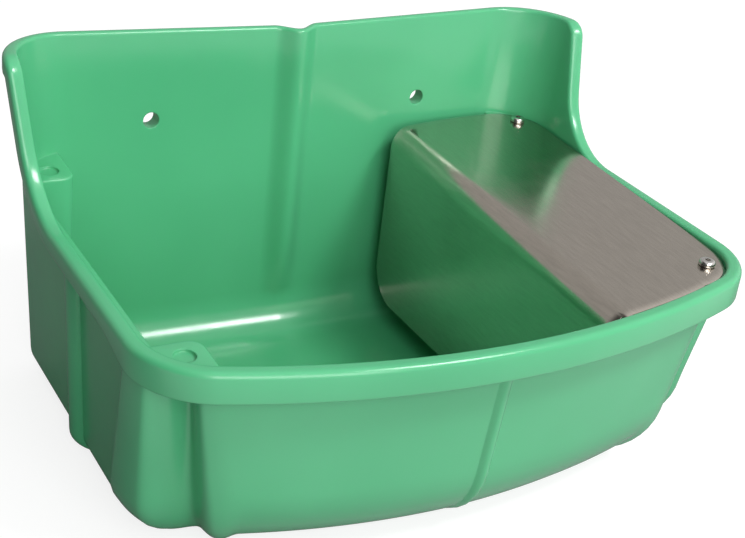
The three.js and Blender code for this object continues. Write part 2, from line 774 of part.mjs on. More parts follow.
// The leg's outline seen from the side, with room above it for the whole top
function legOutline() {
  const rearDepth = coverPlan.back + coverRearSweep;
  const top = rearSeatHeight + coverBendRadius;
  const shoulder = ledgeHeight + ledgeFall + 2 * seatGap;
  const corner = stepsFromZero(6).map((share) => [
    rearDepth + coverLegRound * (1 - Math.cos(share * rightAngle)),
    coverLegFoot + coverLegRound * (1 - Math.sin(share * rightAngle)),
  ]);
  const front = stepsFromZero(8).map((share) => {
    const height = mix(coverLegFoot, shoulder, share);
    return [frontWallAt(height) - coverLegGap, height];
  });
  return [[0, top], [0, rearSeatHeight - coverBendRadius], [rearDepth, rearSeatHeight - 2 * coverBendRadius],
    ...corner, ...front, [rimDepth, shoulder], [rimDepth, top]];
}

function coverGeometry() {
  const centreX = coverLegX + coverBendRadius;
  const centreUp = sheetTop - coverBendRadius;
  const footUp = coverLegFoot - rearSeatHeight - coverBendRadius;
  const bend = (radius) => stepsFromZero(8).map((share) => new THREE.Vector2(
    centreX - radius * Math.sin(share * rightAngle),
    centreUp + radius * Math.cos(share * rightAngle),
  ));
  const farX = coverPlan.half + cutOverrun;
  const profile = [
    new THREE.Vector2(farX, sheetTop),
    ...bend(coverBendRadius),
    new THREE.Vector2(coverLegX, footUp),
    new THREE.Vector2(coverLegX + sheet, footUp),
    ...bend(coverBendRadius - sheet).reverse(),
    new THREE.Vector2(farX, seatGap),
  ];
  const blank = toFront(prism(profile, rimDepth)).translate(0, rearPostDepth, 0);
  const plan = prism(coverOutline(), rimDepth).translate(0, 0, footUp);
  const side = legOutline().map(([depth, height]) => {
    const [forward, up] = onCover(depth, height);
    return new THREE.Vector2(-up, -forward);
  });
  const legSpace = toRight(prism(side, rimHalfWidth));
  const holes = postSpots.map(([x], i) => (
    rod(coverScrewHoleRadius, sheetTop + 2 * cutOverrun).translate(x, -i * coverSpan, -cutOverrun)
  ));
  return cut(common(blank, plan, legSpace), ...holes);
}

// A pan head with a hexagonal socket, on a plain shank; the head's seat is Z = 0
function coverScrewGeometry() {
  const knee = 1 - Math.cos(45 * degree);
  const body = turned([
    [0, -screwLength], [screwRadius, -screwLength], [screwRadius, 0], [screwHeadRadius, 0],
    [screwHeadRadius, screwHeadHeight - screwHeadRound],
    [screwHeadRadius - knee * screwHeadRound, screwHeadHeight - knee * screwHeadRound],
    [screwHeadRadius - screwHeadRound, screwHeadHeight], [0, screwHeadHeight],
  ]);
  const socket = prism(hexagon(screwRecessFlats), screwRecessDepth + cutOverrun);
  return cut(body, socket.translate(0, 0, screwHeadHeight - screwRecessDepth));
}

// A flanged insert; the flange's underside is Z = 0 and it is open right through
function insertGeometry() {
  return turned([
    [insertBore, -insertLength], [insertRadius, -insertLength], [insertRadius, 0], [insertFlangeRadius, 0],
    [insertFlangeRadius, insertFlangeThickness], [insertBore, insertFlangeThickness], [insertBore, -insertLength],
  ]);
}

// Float valve

const collarInnerX = inletPadInnerX - seatGap - sealThickness - seatGap - collarThickness;
const sealX = inletPadInnerX - seatGap - sealThickness;
const inletWasherX = inletPadOuterX + seatGap;
const inletNutX = inletWasherX + inletWasherThickness + seatGap;
const tailEndX = inletPadOuterX + tailBeyondPad;
const atInlet = (geometry, x) => put(toRight(geometry), x, inletDepth, inletHeight);
const inBarrel = (geometry, depth) => put(toFront(geometry), barrelX, depth, inletHeight);

function valveBodyGeometry() {
  const barrel = inBarrel(rod(barrelRadius, barrelFront - barrelRear), barrelRear);
  const stem = atInlet(rod(stemRadius, collarInnerX - barrelX + cutOverrun), barrelX);
  const collar = atInlet(rod(collarRadius, collarThickness), collarInnerX);
  const tail = atInlet(rod(tailRadius, tailEndX - collarInnerX), collarInnerX);
  const ears = [-1, 1].flatMap((side) => {
    const x = barrelX + side * (earInner + earThickness / 2);
    const eye = toRight(rod(earRadius, earThickness)).translate(x - earThickness / 2, -pivotDepth, pivotHeight);
    const web = put(box(earThickness, 2 * earRadius, noseLength), x, pivotDepth, pivotHeight + noseLength / 2);
    return [eye, web];
  });
  const tailBoreCut = atInlet(rod(tailBore, tailEndX - barrelX + cutOverrun), barrelX);
  const chamber = inBarrel(rod(chamberRadius, nozzleSeat - barrelRear - barrelEndWall), barrelRear + barrelEndWall);
  const threadLength = nozzleStem + seatGap;
  const nozzleBore = inBarrel(rod(nozzleRadius + seatGap, threadLength), nozzleSeat - threadLength);
  const boreEnd = Math.max(barrelFront, pivotDepth + earRadius) + cutOverrun;
  const pistonBore = inBarrel(rod(barrelBore, boreEnd - nozzleSeat + seatGap), nozzleSeat - seatGap);
  const slotLength = earRadius + pivotBehindFront + cutOverrun;
  const slot = put(
    box(2 * earInner, slotLength, 2 * noseLength),
    barrelX, barrelFront + cutOverrun - slotLength / 2, pivotHeight,
  );
  const pinHole = toRight(rod(pinRadius + seatGap, 4 * (earInner + earThickness)));
  put(pinHole, barrelX - 2 * (earInner + earThickness), pivotDepth, pivotHeight);
  return cut(joined(barrel, stem, collar, tail, ...ears), tailBoreCut, chamber, nozzleBore, pistonBore, slot, pinHole);
}

function nozzleGeometry() {
  const front = nozzleFlange + nozzleNose;
  return inBarrel(turned([
    [nozzleOrifice, -nozzleStem], [nozzleRadius, -nozzleStem], [nozzleRadius, 0], [barrelBore - seatGap, 0],
    [barrelBore - seatGap, nozzleFlange], [nozzleNoseRadius, nozzleFlange], [nozzleNoseRadius, front],
    [nozzleOrifice, front], [nozzleOrifice, -nozzleStem],
  ]), nozzleSeat);
}

function pistonGeometry() {
  const body = inBarrel(rod(barrelBore - pistonClearance, pistonLength), pistonRear);
  const slotHalf = noseRadius + noseClearance;
  const slotDepth = pivotDepth + noseLength * Math.sin(leverSwing / 2);
  const slotTop = pivotHeight + noseLength + noseRadius + noseHeadroom;
  const slotLow = inletHeight - barrelRadius;
  const slot = box(2 * earInner, 2 * slotHalf, slotTop - slotLow);
  return cut(body, put(slot, barrelX, slotDepth, (slotTop + slotLow) / 2));
}

// Lever, drawn about its pivot with the arm straight forward; the nose leans back by what the arm will droop
function leverGeometry() {
  const half = leverWidth / 2;
  const hub = toRight(rod(leverHubRadius, leverWidth)).translate(-half, 0, 0);
  const neck = box(leverWidth, leverNeckLength, 2 * leverNeckHalf).translate(0, -leverNeckLength / 2, 0);
  const socket = toFront(rod(socketRadius, socketLength)).translate(0, -leverNeckLength, 0);
  const noseTilt = leverSwing / 2 - leverDroop;
  const noseNeck = box(leverWidth, 2 * noseNeckHalf, noseLength).translate(0, 0, noseLength / 2).rotateX(noseTilt);
  const noseTip = toRight(rod(noseRadius, leverWidth)).translate(-half, 0, noseLength).rotateX(noseTilt);
  const pinHole = toRight(rod(pinRadius + seatGap, 2 * leverWidth)).translate(-leverWidth, 0, 0);
  const rodHole = toFront(rod(floatRodRadius + seatGap, socketLength + cutOverrun)).translate(0, -leverNeckLength, 0);
  return cut(joined(hub, neck, socket, noseNeck, noseTip), pinHole, rodHole);
}

const pinHeadX = -earInner - earThickness - seatGap - pinHeadThickness;
const clipX = earInner + earThickness + seatGap;

function pivotPinGeometry() {
  const shankEnd = clipX + clipThickness + pinBeyondClip - pinHeadX;
  return toRight(turned([
    [0, 0], [pinHeadRadius, 0], [pinHeadRadius, pinHeadThickness], [pinRadius, pinHeadThickness],
    [pinRadius, shankEnd], [0, shankEnd],
  ])).translate(pinHeadX, 0, 0);
}

// Float: a rounded block with a hole for its rod, centred on the rod
function floatGeometry() {
  const halfWidth = floatWidth / 2 - floatEdgeRound;
  const halfHeight = floatHeight / 2 - floatEdgeRound;
  const round = floatRound - floatEdgeRound;
  const shape = new THREE.Shape();
  shape.absarc(halfWidth - round, halfHeight - round, round, 0, rightAngle);
  shape.absarc(round - halfWidth, halfHeight - round, round, rightAngle, 2 * rightAngle);
  shape.absarc(round - halfWidth, round - halfHeight, round, 2 * rightAngle, 3 * rightAngle);
  shape.absarc(halfWidth - round, round - halfHeight, round, 3 * rightAngle, 4 * rightAngle);
  const block = new THREE.ExtrudeGeometry(shape, {
    depth: floatLength - 2 * floatEdgeRound,
    bevelThickness: floatEdgeRound,
    bevelSize: floatEdgeRound,
    bevelSegments: 3,
    curveSegments: 4,
  }).translate(0, 0, -floatLength / 2 + floatEdgeRound);
  const bore = rod(floatRodRadius + seatGap, floatLength + 2 * cutOverrun).translate(0, 0, -floatLength / 2 - cutOverrun);
  return toFront(cut(block, bore)).translate(0, -floatCentre, 0);
}

const rearWasherAt = floatCentre - floatLength / 2 - seatGap - floatWasherThickness;
const rearNutAt = rearWasherAt - seatGap - smallNutThickness;
const frontWasherAt = floatCentre + floatLength / 2 + seatGap;
const frontNutAt = frontWasherAt + floatWasherThickness + seatGap;
const rodStart = leverNeckLength + seatGap;
const rodEnd = frontNutAt + smallNutThickness + rodBeyondNut;
const alongArm = (geometry, start) => toFront(geometry).translate(0, -start, 0);
const armWasher = () => ring(floatRodRadius + seatGap, floatWasherRadius, floatWasherThickness);
const armNut = () => hexNut(smallNutFlats, smallNutThickness, floatRodRadius + seatGap);

// Drain plug: its neck fills the drain and its flange lies on the floor, with an upright ring to pull it by
function drainPlugGeometry() {
  const flangeLow = floorThickness + seatGap;
  const ringCentre = flangeLow + plugFlangeThickness + plugRingRadius - plugRingSink;
  const neck = rod(drainRadius - seatGap, floorThickness + seatGap).translate(0, 0, seatGap);
  const flange = rod(plugFlangeRadius, plugFlangeThickness).translate(0, 0, flangeLow);
  const pull = toFront(ring(plugRingHole, plugRingRadius, plugRingThickness));
  pull.translate(0, plugRingThickness / 2, ringCentre);
  return put(joined(neck, flange, pull), 0, drainDepth, 0);
}

// Materials

const material = (colour, roughness, metalness) => (
  () => new THREE.MeshStandardMaterial({ color: colour, roughness, metalness })
);
const greenPlastic = material(0x3d9a68, 0.25, 0);
const whitePlastic = material(0xe6e6df, 0.4, 0);
const stainless = material(0x9a938a, 0.3, 1);
const brass = material(0xb89552, 0.35, 1);
const blackRubber = material(0x1c1c1c, 0.8, 0);

// The assembly

function piece(parent, name, geometry, makeMaterial) {
  const mesh = new THREE.Mesh(geometry, makeMaterial());
  mesh.name = name;
  parent.add(mesh);
  return mesh;
}

const waterer = new THREE.Group();
waterer.position.z = -boltHoleHeight;

piece(waterer, 'bowl', bowlGeometry(), greenPlastic);
piece(waterer, 'drain_plug', drainPlugGeometry(), blackRubber);

const cover = new THREE.Group();
cover.position.set(0, -rearPostDepth, rearSeatHeight);
cover.rotation.x = coverTilt;
waterer.add(cover);
piece(cover, 'cover_plate', coverGeometry(), stainless);
[['rear', rearPostX], ['front', frontPostX]].forEach(([end, x], i) => {
  const screw = piece(cover, `cover_screw_${end}`, coverScrewGeometry(), stainless);
  screw.position.set(x, -i * coverSpan, sheetTop + seatGap);
  const insert = piece(cover, `insert_${end}`, insertGeometry(), brass);
  insert.position.set(x, -i * coverSpan, seatGap - postRecessDepth);
});

piece(waterer, 'valve_body', valveBodyGeometry(), brass);
piece(waterer, 'inlet_seal', atInlet(ring(tailRadius + seatGap, collarRadius, sealThickness), sealX), blackRubber);
const inletWasher = ring(tailRadius + seatGap, collarRadius, inletWasherThickness);
piece(waterer, 'inlet_washer', atInlet(inletWasher, inletWasherX), stainless);
const inletNut = hexNut(inletNutFlats, inletNutThickness, tailRadius + seatGap);
piece(waterer, 'inlet_nut', atInlet(inletNut, inletNutX), brass);
piece(waterer, 'nozzle', nozzleGeometry(), whitePlastic);
piece(waterer, 'piston_disc', inBarrel(rod(discRadius, discThickness), discRear), blackRubber);
piece(waterer, 'piston', pistonGeometry(), brass);

const pivot = new THREE.Group();
pivot.position.set(barrelX, -pivotDepth, pivotHeight);
waterer.add(pivot);
piece(pivot, 'pivot_pin', pivotPinGeometry(), stainless);
piece(pivot, 'pivot_clip', toRight(ring(pinRadius + seatGap, clipRadius, clipThickness)).translate(clipX, 0, 0), stainless);

const arm = new THREE.Group();
arm.rotation.x = leverDroop;
pivot.add(arm);
piece(arm, 'float_lever', leverGeometry(), brass);
piece(arm, 'float_rod', alongArm(rod(floatRodRadius, rodEnd - rodStart), rodStart), stainless);
piece(arm, 'float', floatGeometry(), whitePlastic);
piece(arm, 'float_washer_rear', alongArm(armWasher(), rearWasherAt), stainless);
piece(arm, 'float_washer_front', alongArm(armWasher(), frontWasherAt), stainless);
piece(arm, 'float_nut_rear', alongArm(armNut(), rearNutAt), stainless);
piece(arm, 'float_nut_front', alongArm(armNut(), frontNutAt), stainless);

export default waterer;
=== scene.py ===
import math

import bmesh
import bpy
from mathutils import Matrix, Vector


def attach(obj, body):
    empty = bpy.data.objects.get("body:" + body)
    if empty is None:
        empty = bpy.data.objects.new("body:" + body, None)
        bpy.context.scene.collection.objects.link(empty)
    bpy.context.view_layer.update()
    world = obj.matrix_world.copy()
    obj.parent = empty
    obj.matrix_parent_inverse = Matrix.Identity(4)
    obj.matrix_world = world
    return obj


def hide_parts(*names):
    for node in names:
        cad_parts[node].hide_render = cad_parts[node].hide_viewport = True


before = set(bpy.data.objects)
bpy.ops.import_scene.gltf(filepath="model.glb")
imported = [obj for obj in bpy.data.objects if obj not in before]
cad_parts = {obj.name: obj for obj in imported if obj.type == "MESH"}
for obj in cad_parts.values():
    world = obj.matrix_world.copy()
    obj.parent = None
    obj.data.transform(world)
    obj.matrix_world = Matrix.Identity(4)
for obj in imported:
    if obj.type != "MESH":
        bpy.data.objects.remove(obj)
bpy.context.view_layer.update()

# A wall-hung animal waterer. Lengths are in millimetres until a mesh is made: x to the right,
# depth forward from the wall, and height above the bowl's underside. Those for looks, floor,
# world and lamps are in metres.

MM = 0.001
RIGHT_ANGLE = math.pi / 2
DEGREE = math.pi / 180
BOLT_HOLE_HEIGHT = 194
STAGE_GAP = 0.5
MERGE_DISTANCE = 1e-7
ROUND_STEPS = 64

# Bowl
WALL = 3.5
FLOOR = 3.5
WALL_DRAFT = 0.042
FRONT_DRAFT = 0.11
BACK_DRAFT = 0.015
RIM_HEIGHT = 169
RIM_HALF = 231
RIM_DEPTH = 359
RIM_WIDTH = 11
ARC_RADIUS = 580
RIM_REAR_RADIUS = 57
RIM_FRONT_RADIUS = 60
RIM_INNER_ROUND = 2.5
RIM_OUTER_ROUND = 4
FLANGE = 3.5
SKIRT = 2.5
SIDE_SKIRT = 12.5
FRONT_SKIRT = 21
SKIRT_DROP_START = 230
SKIRT_DROP_END = 286
LEDGE_HEIGHT = 160
LEDGE_FALL = 1
LEDGE_WIDTH = 7.5
LOWER_REAR_RADIUS = 40
OUTER_REAR_RADIUS = 14
CORNER_GROWTH = 0.225
SIDE_FILLET = 14
BACK_FILLET = 33
FRONT_FILLET = 57
FRONT_END_FILLET = 59
POST_SIDE_FILLET = 44
POST_FRONT_FILLET = 49
POST_FILLET_LENGTH = 43
POST_FILLET_SHARE = 0.8
LEAST_RADIUS = 5
KNEE_HEIGHT = 66
BACK_HEIGHT = 266
BACK_FLANGE = 7.9
BACK_BOW = 6.65
BACK_DIP = 4.3
WING_FLARE = 0.08
SHOULDER_DEPTH = 48.5
SHOULDER_RADIUS = 16
WING_BEND = 60
WING_LEAN = 16 * DEGREE
RIDGE_HALF = 18.5
RIDGE_RISE = 9.3
RIDGE_LOW = 26
RIDGE_HIGH = 62
RIB_DEPTH = 139
RIB_HALF = 9
RIB_RISE = 7
BEAD_HALF = 5
BEAD_RISE = 3
COLUMN_BULGE = 12.3
COLUMN_RISE_LENGTH = 24
COLUMN_END_SHARE = 0.3
FLUTE = 14
FLUTE_DEEP_SHARE = 0.56
FLUTE_END_SHARE = 0.8
UNDER_RIM_EASE = 1
LEDGE_TO_RIM_SHARES = (0.06, 0.35, 0.7)
UNDER_RIM_SHARES = (0.33, 0.66)
SIDE_REACH_PARTS = 3
BOWL_CREASE = 32

# Steps along the bowl's plan, and down its wall
RIDGE_STEPS = 16
BACK_STEPS = 16
REAR_STEPS = 24
SHOULDER_STEPS = 6
LEAN_STEPS = 5
BEND_STEPS = 14
RIB_STEPS = 16
SIDE_STEPS = 20
CORNER_STEPS = 48
FRONT_STEPS = 28
BEAD_STEPS = 8
LEAST_STEP = 1
FILLET_STEPS = 10
WALL_STEPS = 4
RIM_INNER_STEPS = 4
RIM_OUTER_STEPS = 5
SKIRT_EDGE_STEPS = 6
POST_STEPS = 12

# Posts and holes
REAR_POST = (202.5, 39)
FRONT_POST = (199, 291.5)
SEAT_SLOPE = 0.0417
FRONT_SEAT = 163
POST_ROUND = 10
POST_WALL = 15.5
POST_EDGE_ROUND = 1.2
POST_EDGE_SEGMENTS = 3
POST_EDGE_ANGLE = 60
RECESS_RADIUS = 7
RECESS_DEPTH = 2
RECESS_CHAMFER = 0.6
RECESS_REACH = 2
INSERT_HOLE_RADIUS = 4.8
INSERT_HOLE_DEPTH = 15
BOLT_X = 115.9
BOLT_RADIUS = 6.25
BOLT_HOLE_LENGTH = 30
BOSS_RADIUS = 14
DRAIN_DEPTH = 200
DRAIN_RADIUS = 15
INLET_DEPTH = 100
INLET_HEIGHT = 132
PAD_RADIUS = 19
PAD_STAND = 2.4
TAIL_HOLE = 10.75
CUT_PAST = 1

# Cover
LEG_X = 86
SHEET_THICK = 1.5
COVER_BEND = 16
COVER_HALF = 219
COVER_BACK = 19.9
COVER_FRONT = 341
COVER_SWEEP = 11
COVER_REAR_RADIUS = 35
COVER_FRONT_RADIUS = 45
COVER_ARC = 650
COVER_EDGE_ROUND = 0.35
COVER_EDGE_SEGMENTS = 2
COVER_EDGE_ANGLE = 50
COVER_CREASE = 40
LEG_FOOT = 25
LEG_ROUND = 30
LEG_GAP = 3
SEAT_GAP = 0.3
SCREW_HOLE = 3.4
SCREW_HOLE_LENGTH = 8
SCREW_HOLE_DROP = 3
FOOT_STEPS = 12
LEG_STEPS = 14
COVER_BEND_STEPS = 16
COVER_TOP_STEPS = 10
COVER_CORNER_STEPS = 16
COVER_DEPTH_STEPS = 40

# Cover screws
HEAD_RADIUS = 6
HEAD_HEIGHT = 4
HEAD_ROUND = 2.2
HEAD_CHAMFER = 0.3
HEAD_STEPS = 6
SHANK_RADIUS = 2.7
SHANK_LENGTH = 13
TIP_START = 12.3
TIP_CHAMFER = 0.5
SOCKET_ACROSS = 4
SOCKET_FLOOR = 1.8
SOCKET_LENGTH = 4
SOCKET_SIDES = 6
SOCKET_HALF_SIDE = 30 * DEGREE
SCREW_CREASE = 40

# Looks: colours as a darker and a lighter one, bumps as strength and distance, and noises as
# scale, detail and, for steel, roughness
NOISE_LOW = 0.3
NOISE_HIGH = 0.7
GREEN_TONE_NOISE = (7, 2)
GREEN_SHEEN_NOISE = (60, 4)
GREEN_GRAIN_NOISE = (900, 2)
GREEN_WAVE_NOISE = (14, 2)
GREEN_TONES = ((0.066, 0.36, 0.168), (0.08, 0.4, 0.192))
GREEN_ROUGHNESS = (0.16, 0.24)
GREEN_GRAIN = (0.05, 0.0004)
GREEN_WAVES = (0.12, 0.0012)
GREEN_EDGE = 0.0015
GREEN_DEPTH = dict(
    Subsurface_Weight=0.12,
    Subsurface_Scale=0.012,
    Subsurface_Radius=(0.4, 1.0, 0.5),
    IOR=1.5,
)
STEEL_TONE_NOISE = (500, 3, 0.6)
STEEL_SHEEN_NOISE = (45, 4)
STEEL_GRAIN_NOISE = (900, 3, 0.6)
STEEL_TONES = (0.92, 1.05)
STEEL_BUMP_DISTANCE = 0.0002
PLAIN_BUMP_DISTANCE = 0.0003
PLAIN_TONE_DETAIL = 4
PLAIN_FINE_DETAIL = 3
PLAIN_SHEEN_TIMES = 2
PLAIN_GRAIN_TIMES = 10
SMALL_EDGE = 0.0003
EDGE_SAMPLES = 6
COPY_CREASE = 35

# Camera at the photograph's angle, in a frame of 745 by 538: its place in metres, its sensor in
# millimetres, and the photograph's points in pixels
IMAGE_WIDTH = 745
IMAGE_HEIGHT = 538
FOCAL_PX = 1432.4
CENTRE_PX = (359.6, 265.3)
EYE = Vector((-0.4893, -0.9572, 0.4032))
UP = Vector((0.1296, 0.4427, 0.8873))
AHEAD = Vector((0.4615, 0.765, -0.4491))
SENSOR_WIDTH = 36
CLIP_START = 0.01
CLIP_END = 50

# Floor: white to the camera, and to mirror rays that meet it in front of the object
FLOOR_HALF = 9
FLOOR_TONE = 0.28
FLOOR_ROUGHNESS = 0.9
FLOOR_SPECULAR = 0.1
FLOOR_LIGHT = 0.8
FLOOR_FADE = (-0.45, -0.25)

# World: bright on this side, fading out from it, and pale beyond the back
BRIGHT_SIDE = (0.75, -0.58, 0.33)
WORLD_FADE = (-0.2, 0.4)
WORLD_LIGHT = (0.05, 0.95)
BACK_FADE = (0.35, 0.6)
BACK_LIGHT = 0.5

# Lamps
LAMP_TARGET = Vector((0, -0.18, -0.06))
LAMPS = {
    "key": dict(spot=(0.72, -1.25, 1.6), width=0.6, length=0.4, watts=26),
    "front": dict(spot=(-0.35, -2.4, 0.9), width=1.6, length=1.6, watts=36),
}

# Values that follow from the ones above
REAR_SEAT = FRONT_SEAT + SEAT_SLOPE * (FRONT_POST[1] - REAR_POST[1])
TILT = math.atan(SEAT_SLOPE)
RIM_INNER_HALF = RIM_HALF - RIM_WIDTH
RIM_INNER_DEPTH = RIM_DEPTH - RIM_WIDTH
LOWER_HALF = RIM_INNER_HALF - LEDGE_WIDTH
LOWER_FRONT = RIM_INNER_DEPTH - LEDGE_WIDTH


def mix(a, b, share):
    return a + (b - a) * share


def clamp(value):
    return min(1, max(0, value))


def smooth(value):
    return clamp(value) ** 2 * (3 - 2 * clamp(value))


def shares(count, first=True):
    return [i / count for i in range(0 if first else 1, count + 1)]


def seat_at(depth):
    return REAR_SEAT - SEAT_SLOPE * (depth - REAR_POST[1])


def place(x, depth, height):
    """A point in millimetres, as Blender's point in metres in the shared frame."""
    return Vector((x * MM, -depth * MM, (height - BOLT_HOLE_HEIGHT) * MM))


# Meshes

def new_object(name, points, faces):
    mesh = bpy.data.meshes.new(name)
    mesh.from_pydata(points, [], faces)
    mesh.validate()
    mesh.update()
    obj = bpy.data.objects.new(name, mesh)
    bpy.context.scene.collection.objects.link(obj)
    return obj


def face_out(obj):
    bm = bmesh.new()
    bm.from_mesh(obj.data)
    bmesh.ops.remove_doubles(bm, verts=bm.verts, dist=MERGE_DISTANCE)
    bmesh.ops.recalc_face_normals(bm, faces=bm.faces)
    bm.to_mesh(obj.data)
    bm.free()


def loft(name, loops):
    """A closed solid through loops of equally many points in millimetres, with a flat face at each end."""
    count = len(loops[0])
    points = [place(*p) for loop in loops for p in loop]
    faces = []
    for row in range(len(loops) - 1):
        near = row * count
        far = near + count
        for i in range(count):
            j = (i + 1) % count
            faces.append((near + i, near + j, far + j, far + i))
    high = (len(loops) - 1) * count
    faces.append(tuple(reversed(range(count))))
    faces.append(tuple(range(high, high + count)))
    obj = new_object(name, points, faces)
    face_out(obj)
    return obj


def turned(name, profile, steps=ROUND_STEPS):
    """A solid turned about Z from (radius, height) points, the first and last of them on the axis."""
    points, faces, rings = [], [], []
    for radius, height in profile:
        if radius == 0:
            rings.append([len(points)] * steps)
            points.append((0, 0, height * MM))
            continue
        rings.append(list(range(len(points), len(points) + steps)))
        for i in range(steps):
            angle = 2 * math.pi * i / steps
            points.append((radius * MM * math.cos(angle), radius * MM * math.sin(angle), height * MM))
    for low, high in zip(rings, rings[1:]):
        for i in range(steps):
            j = (i + 1) % steps
            faces.append(list(dict.fromkeys((low[i], low[j], high[j], high[i]))))
    obj = new_object(name, points, faces)
    face_out(obj)
    return obj


def rod(name, radius, length, steps=ROUND_STEPS):
    return turned(name, [(0, 0), (radius, 0), (radius, length), (0, length)], steps)


def prism(name, outline, low, high):
    """A solid from an outline of (x, depth) between two heights in millimetres."""
    count = len(outline)
    points = [place(x, d, low) for x, d in outline] + [place(x, d, high) for x, d in outline]
    faces = [tuple(range(count)), tuple(range(2 * count - 1, count - 1, -1))]
    faces += [(i, (i + 1) % count, count + (i + 1) % count, count + i) for i in range(count)]
    obj = new_object(name, points, faces)
    face_out(obj)
    return obj


def transform(obj, matrix):
    obj.data.transform(matrix)
    obj.data.update()
    return obj


def move(obj, x, depth, height):
    return transform(obj, Matrix.Translation(place(x, depth, height)))


def turn(obj, angle, axis):
    return transform(obj, Matrix.Rotation(angle, 4, axis))


def apply_modifiers(obj):
    view = bpy.context.evaluated_depsgraph_get()
    mesh = bpy.data.meshes.new_from_object(obj.evaluated_get(view))
    obj.modifiers.clear()
    obj.data = mesh


def combine(obj, other, operation):
    """A boolean of two solids; the second is removed afterwards."""
    modifier = obj.modifiers.new("boolean", "BOOLEAN")
    modifier.object = other
    modifier.operation = operation
    modifier.solver = "MANIFOLD"
    apply_modifiers(obj)
    bpy.data.objects.remove(other)
    return obj


def shade(obj, angle):
    """Smooth shading, with the edges sharper than an angle in degrees left as creases."""
    for polygon in obj.data.polygons:
        polygon.use_smooth = True
    obj.data.set_sharp_from_angle(angle=angle * DEGREE)
    return obj


def bevel(obj, width, segments, angle):
    modifier = obj.modifiers.new("bevel", "BEVEL")
    modifier.width = width * MM
    modifier.segments = segments
    modifier.limit_method = "ANGLE"
    modifier.angle_limit = angle * DEGREE
    apply_modifiers(obj)


# The bowl's plan and stations

def plan_corner(plan):
    """A plan's front arc, its centre, and the front corner's centre and turn."""
    arc = plan.get("arc", ARC_RADIUS - (RIM_DEPTH - plan["front"]))
    centre = plan["front"] - arc
    x = plan["half"] - plan["front_radius"]
    inner = arc - plan["front_radius"]
    return arc, centre, x, centre + math.sqrt(inner ** 2 - x ** 2), RIGHT_ANGLE - math.asin(x / inner)


def flare_at(height):
    """How much wider than the rim the wings stand at a height."""
    return WING_FLARE * max(0, height - RIM_HEIGHT)


def back_inner_at(height):
    return BACK_FLANGE + BACK_DRAFT * (BACK_HEIGHT - height)


def bow_at(x):
    return BACK_BOW * (1 - min(1, abs(x) / RIM_HALF))


def lip_plan(height):
    return dict(half=RIM_HALF + flare_at(height), back=0, front=RIM_DEPTH,
                rear_radius=RIM_REAR_RADIUS, front_radius=RIM_FRONT_RADIUS)


def upper_plan(height, offset):
    return dict(half=RIM_INNER_HALF + flare_at(height) + offset, back=back_inner_at(height) - offset,
                front=RIM_INNER_DEPTH + offset, rear_radius=RIM_REAR_RADIUS - RIM_WIDTH + offset,
                front_radius=RIM_FRONT_RADIUS - RIM_WIDTH + offset)


def lower_plan(heights, insets, offset, rear_radius):
    rear_shrink = (insets["side"] + insets["back"]) / 2
    front_shrink = (insets["side"] + insets["front"]) / 2
    below = LEDGE_HEIGHT - (heights["side"] + heights["front"]) / 2
    front_radius = RIM_FRONT_RADIUS - RIM_WIDTH - LEDGE_WIDTH + offset - front_shrink
    front_radius += CORNER_GROWTH * below
    return dict(
        half=LOWER_HALF - WALL_DRAFT * (LEDGE_HEIGHT - heights["side"]) - insets["side"] + offset,
        back=back_inner_at(heights["back"]) + insets["back"] - offset,
        front=LOWER_FRONT - FRONT_DRAFT * (LEDGE_HEIGHT - heights["front"]) - insets["front"] + offset,
        rear_radius=max(LEAST_RADIUS, rear_radius - rear_shrink),
        front_radius=max(LEAST_RADIUS, front_radius),
    )


_, _, RIM_CORNER_X, SIDE_END, _ = plan_corner(lip_plan(RIM_HEIGHT))
SIDE_START = RIM_REAR_RADIUS
SHOULDER_END = SHOULDER_DEPTH + SHOULDER_RADIUS * math.cos(WING_LEAN)
SHOULDER_LOW = BACK_HEIGHT - SHOULDER_RADIUS * (1 - math.sin(WING_LEAN))
BEND_TOP = RIM_HEIGHT + WING_BEND * (1 - math.sin(WING_LEAN))
BEND_START = SHOULDER_END + (SHOULDER_LOW - BEND_TOP) * math.tan(WING_LEAN)
BEND_END = BEND_START + WING_BEND * math.cos(WING_LEAN)


def station_list():
    """The places round the right half of the bowl, from the ridge to the bead, as (zone, kind, value)."""
    found = [("back", "x", s * RIDGE_HALF) for s in shares(RIDGE_STEPS)]
    found += [("back", "share", s) for s in shares(BACK_STEPS, False)]
    found += [("rear", "share", s) for s in shares(REAR_STEPS, False)]
    depths = [mix(SIDE_START, SHOULDER_END, s) for s in shares(SHOULDER_STEPS, False)]
    depths += [mix(SHOULDER_END, BEND_START, s) for s in shares(LEAN_STEPS, False)]
    bend = [BEND_END - WING_BEND * math.cos(mix(WING_LEAN, RIGHT_ANGLE, s))
            for s in shares(BEND_STEPS, False)]
    depths += [d for d in bend if d < RIB_DEPTH - RIB_HALF - LEAST_STEP]
    depths += [RIB_DEPTH - RIB_HALF * math.cos(s * math.pi) for s in shares(RIB_STEPS)]
    depths += [mix(RIB_DEPTH + RIB_HALF, SIDE_END, s) for s in shares(SIDE_STEPS, False)[:-1]]
    found += [("side", "depth", d) for d in depths]
    found += [("corner", "share", s) for s in shares(CORNER_STEPS)]
    found += [("front", "share", 1 - s) for s in shares(FRONT_STEPS, False)[:-1]]
    found += [("front", "x", (1 - s) * BEAD_HALF) for s in shares(BEAD_STEPS)]
    return found


STATIONS = station_list()


def ridge_at(x, height):
    share = min(1, abs(x) / RIDGE_HALF)
    rise = 0.5 * (1 + math.cos(math.pi * share))
    return RIDGE_RISE * rise * smooth((height - RIDGE_LOW) / (RIDGE_HIGH - RIDGE_LOW))


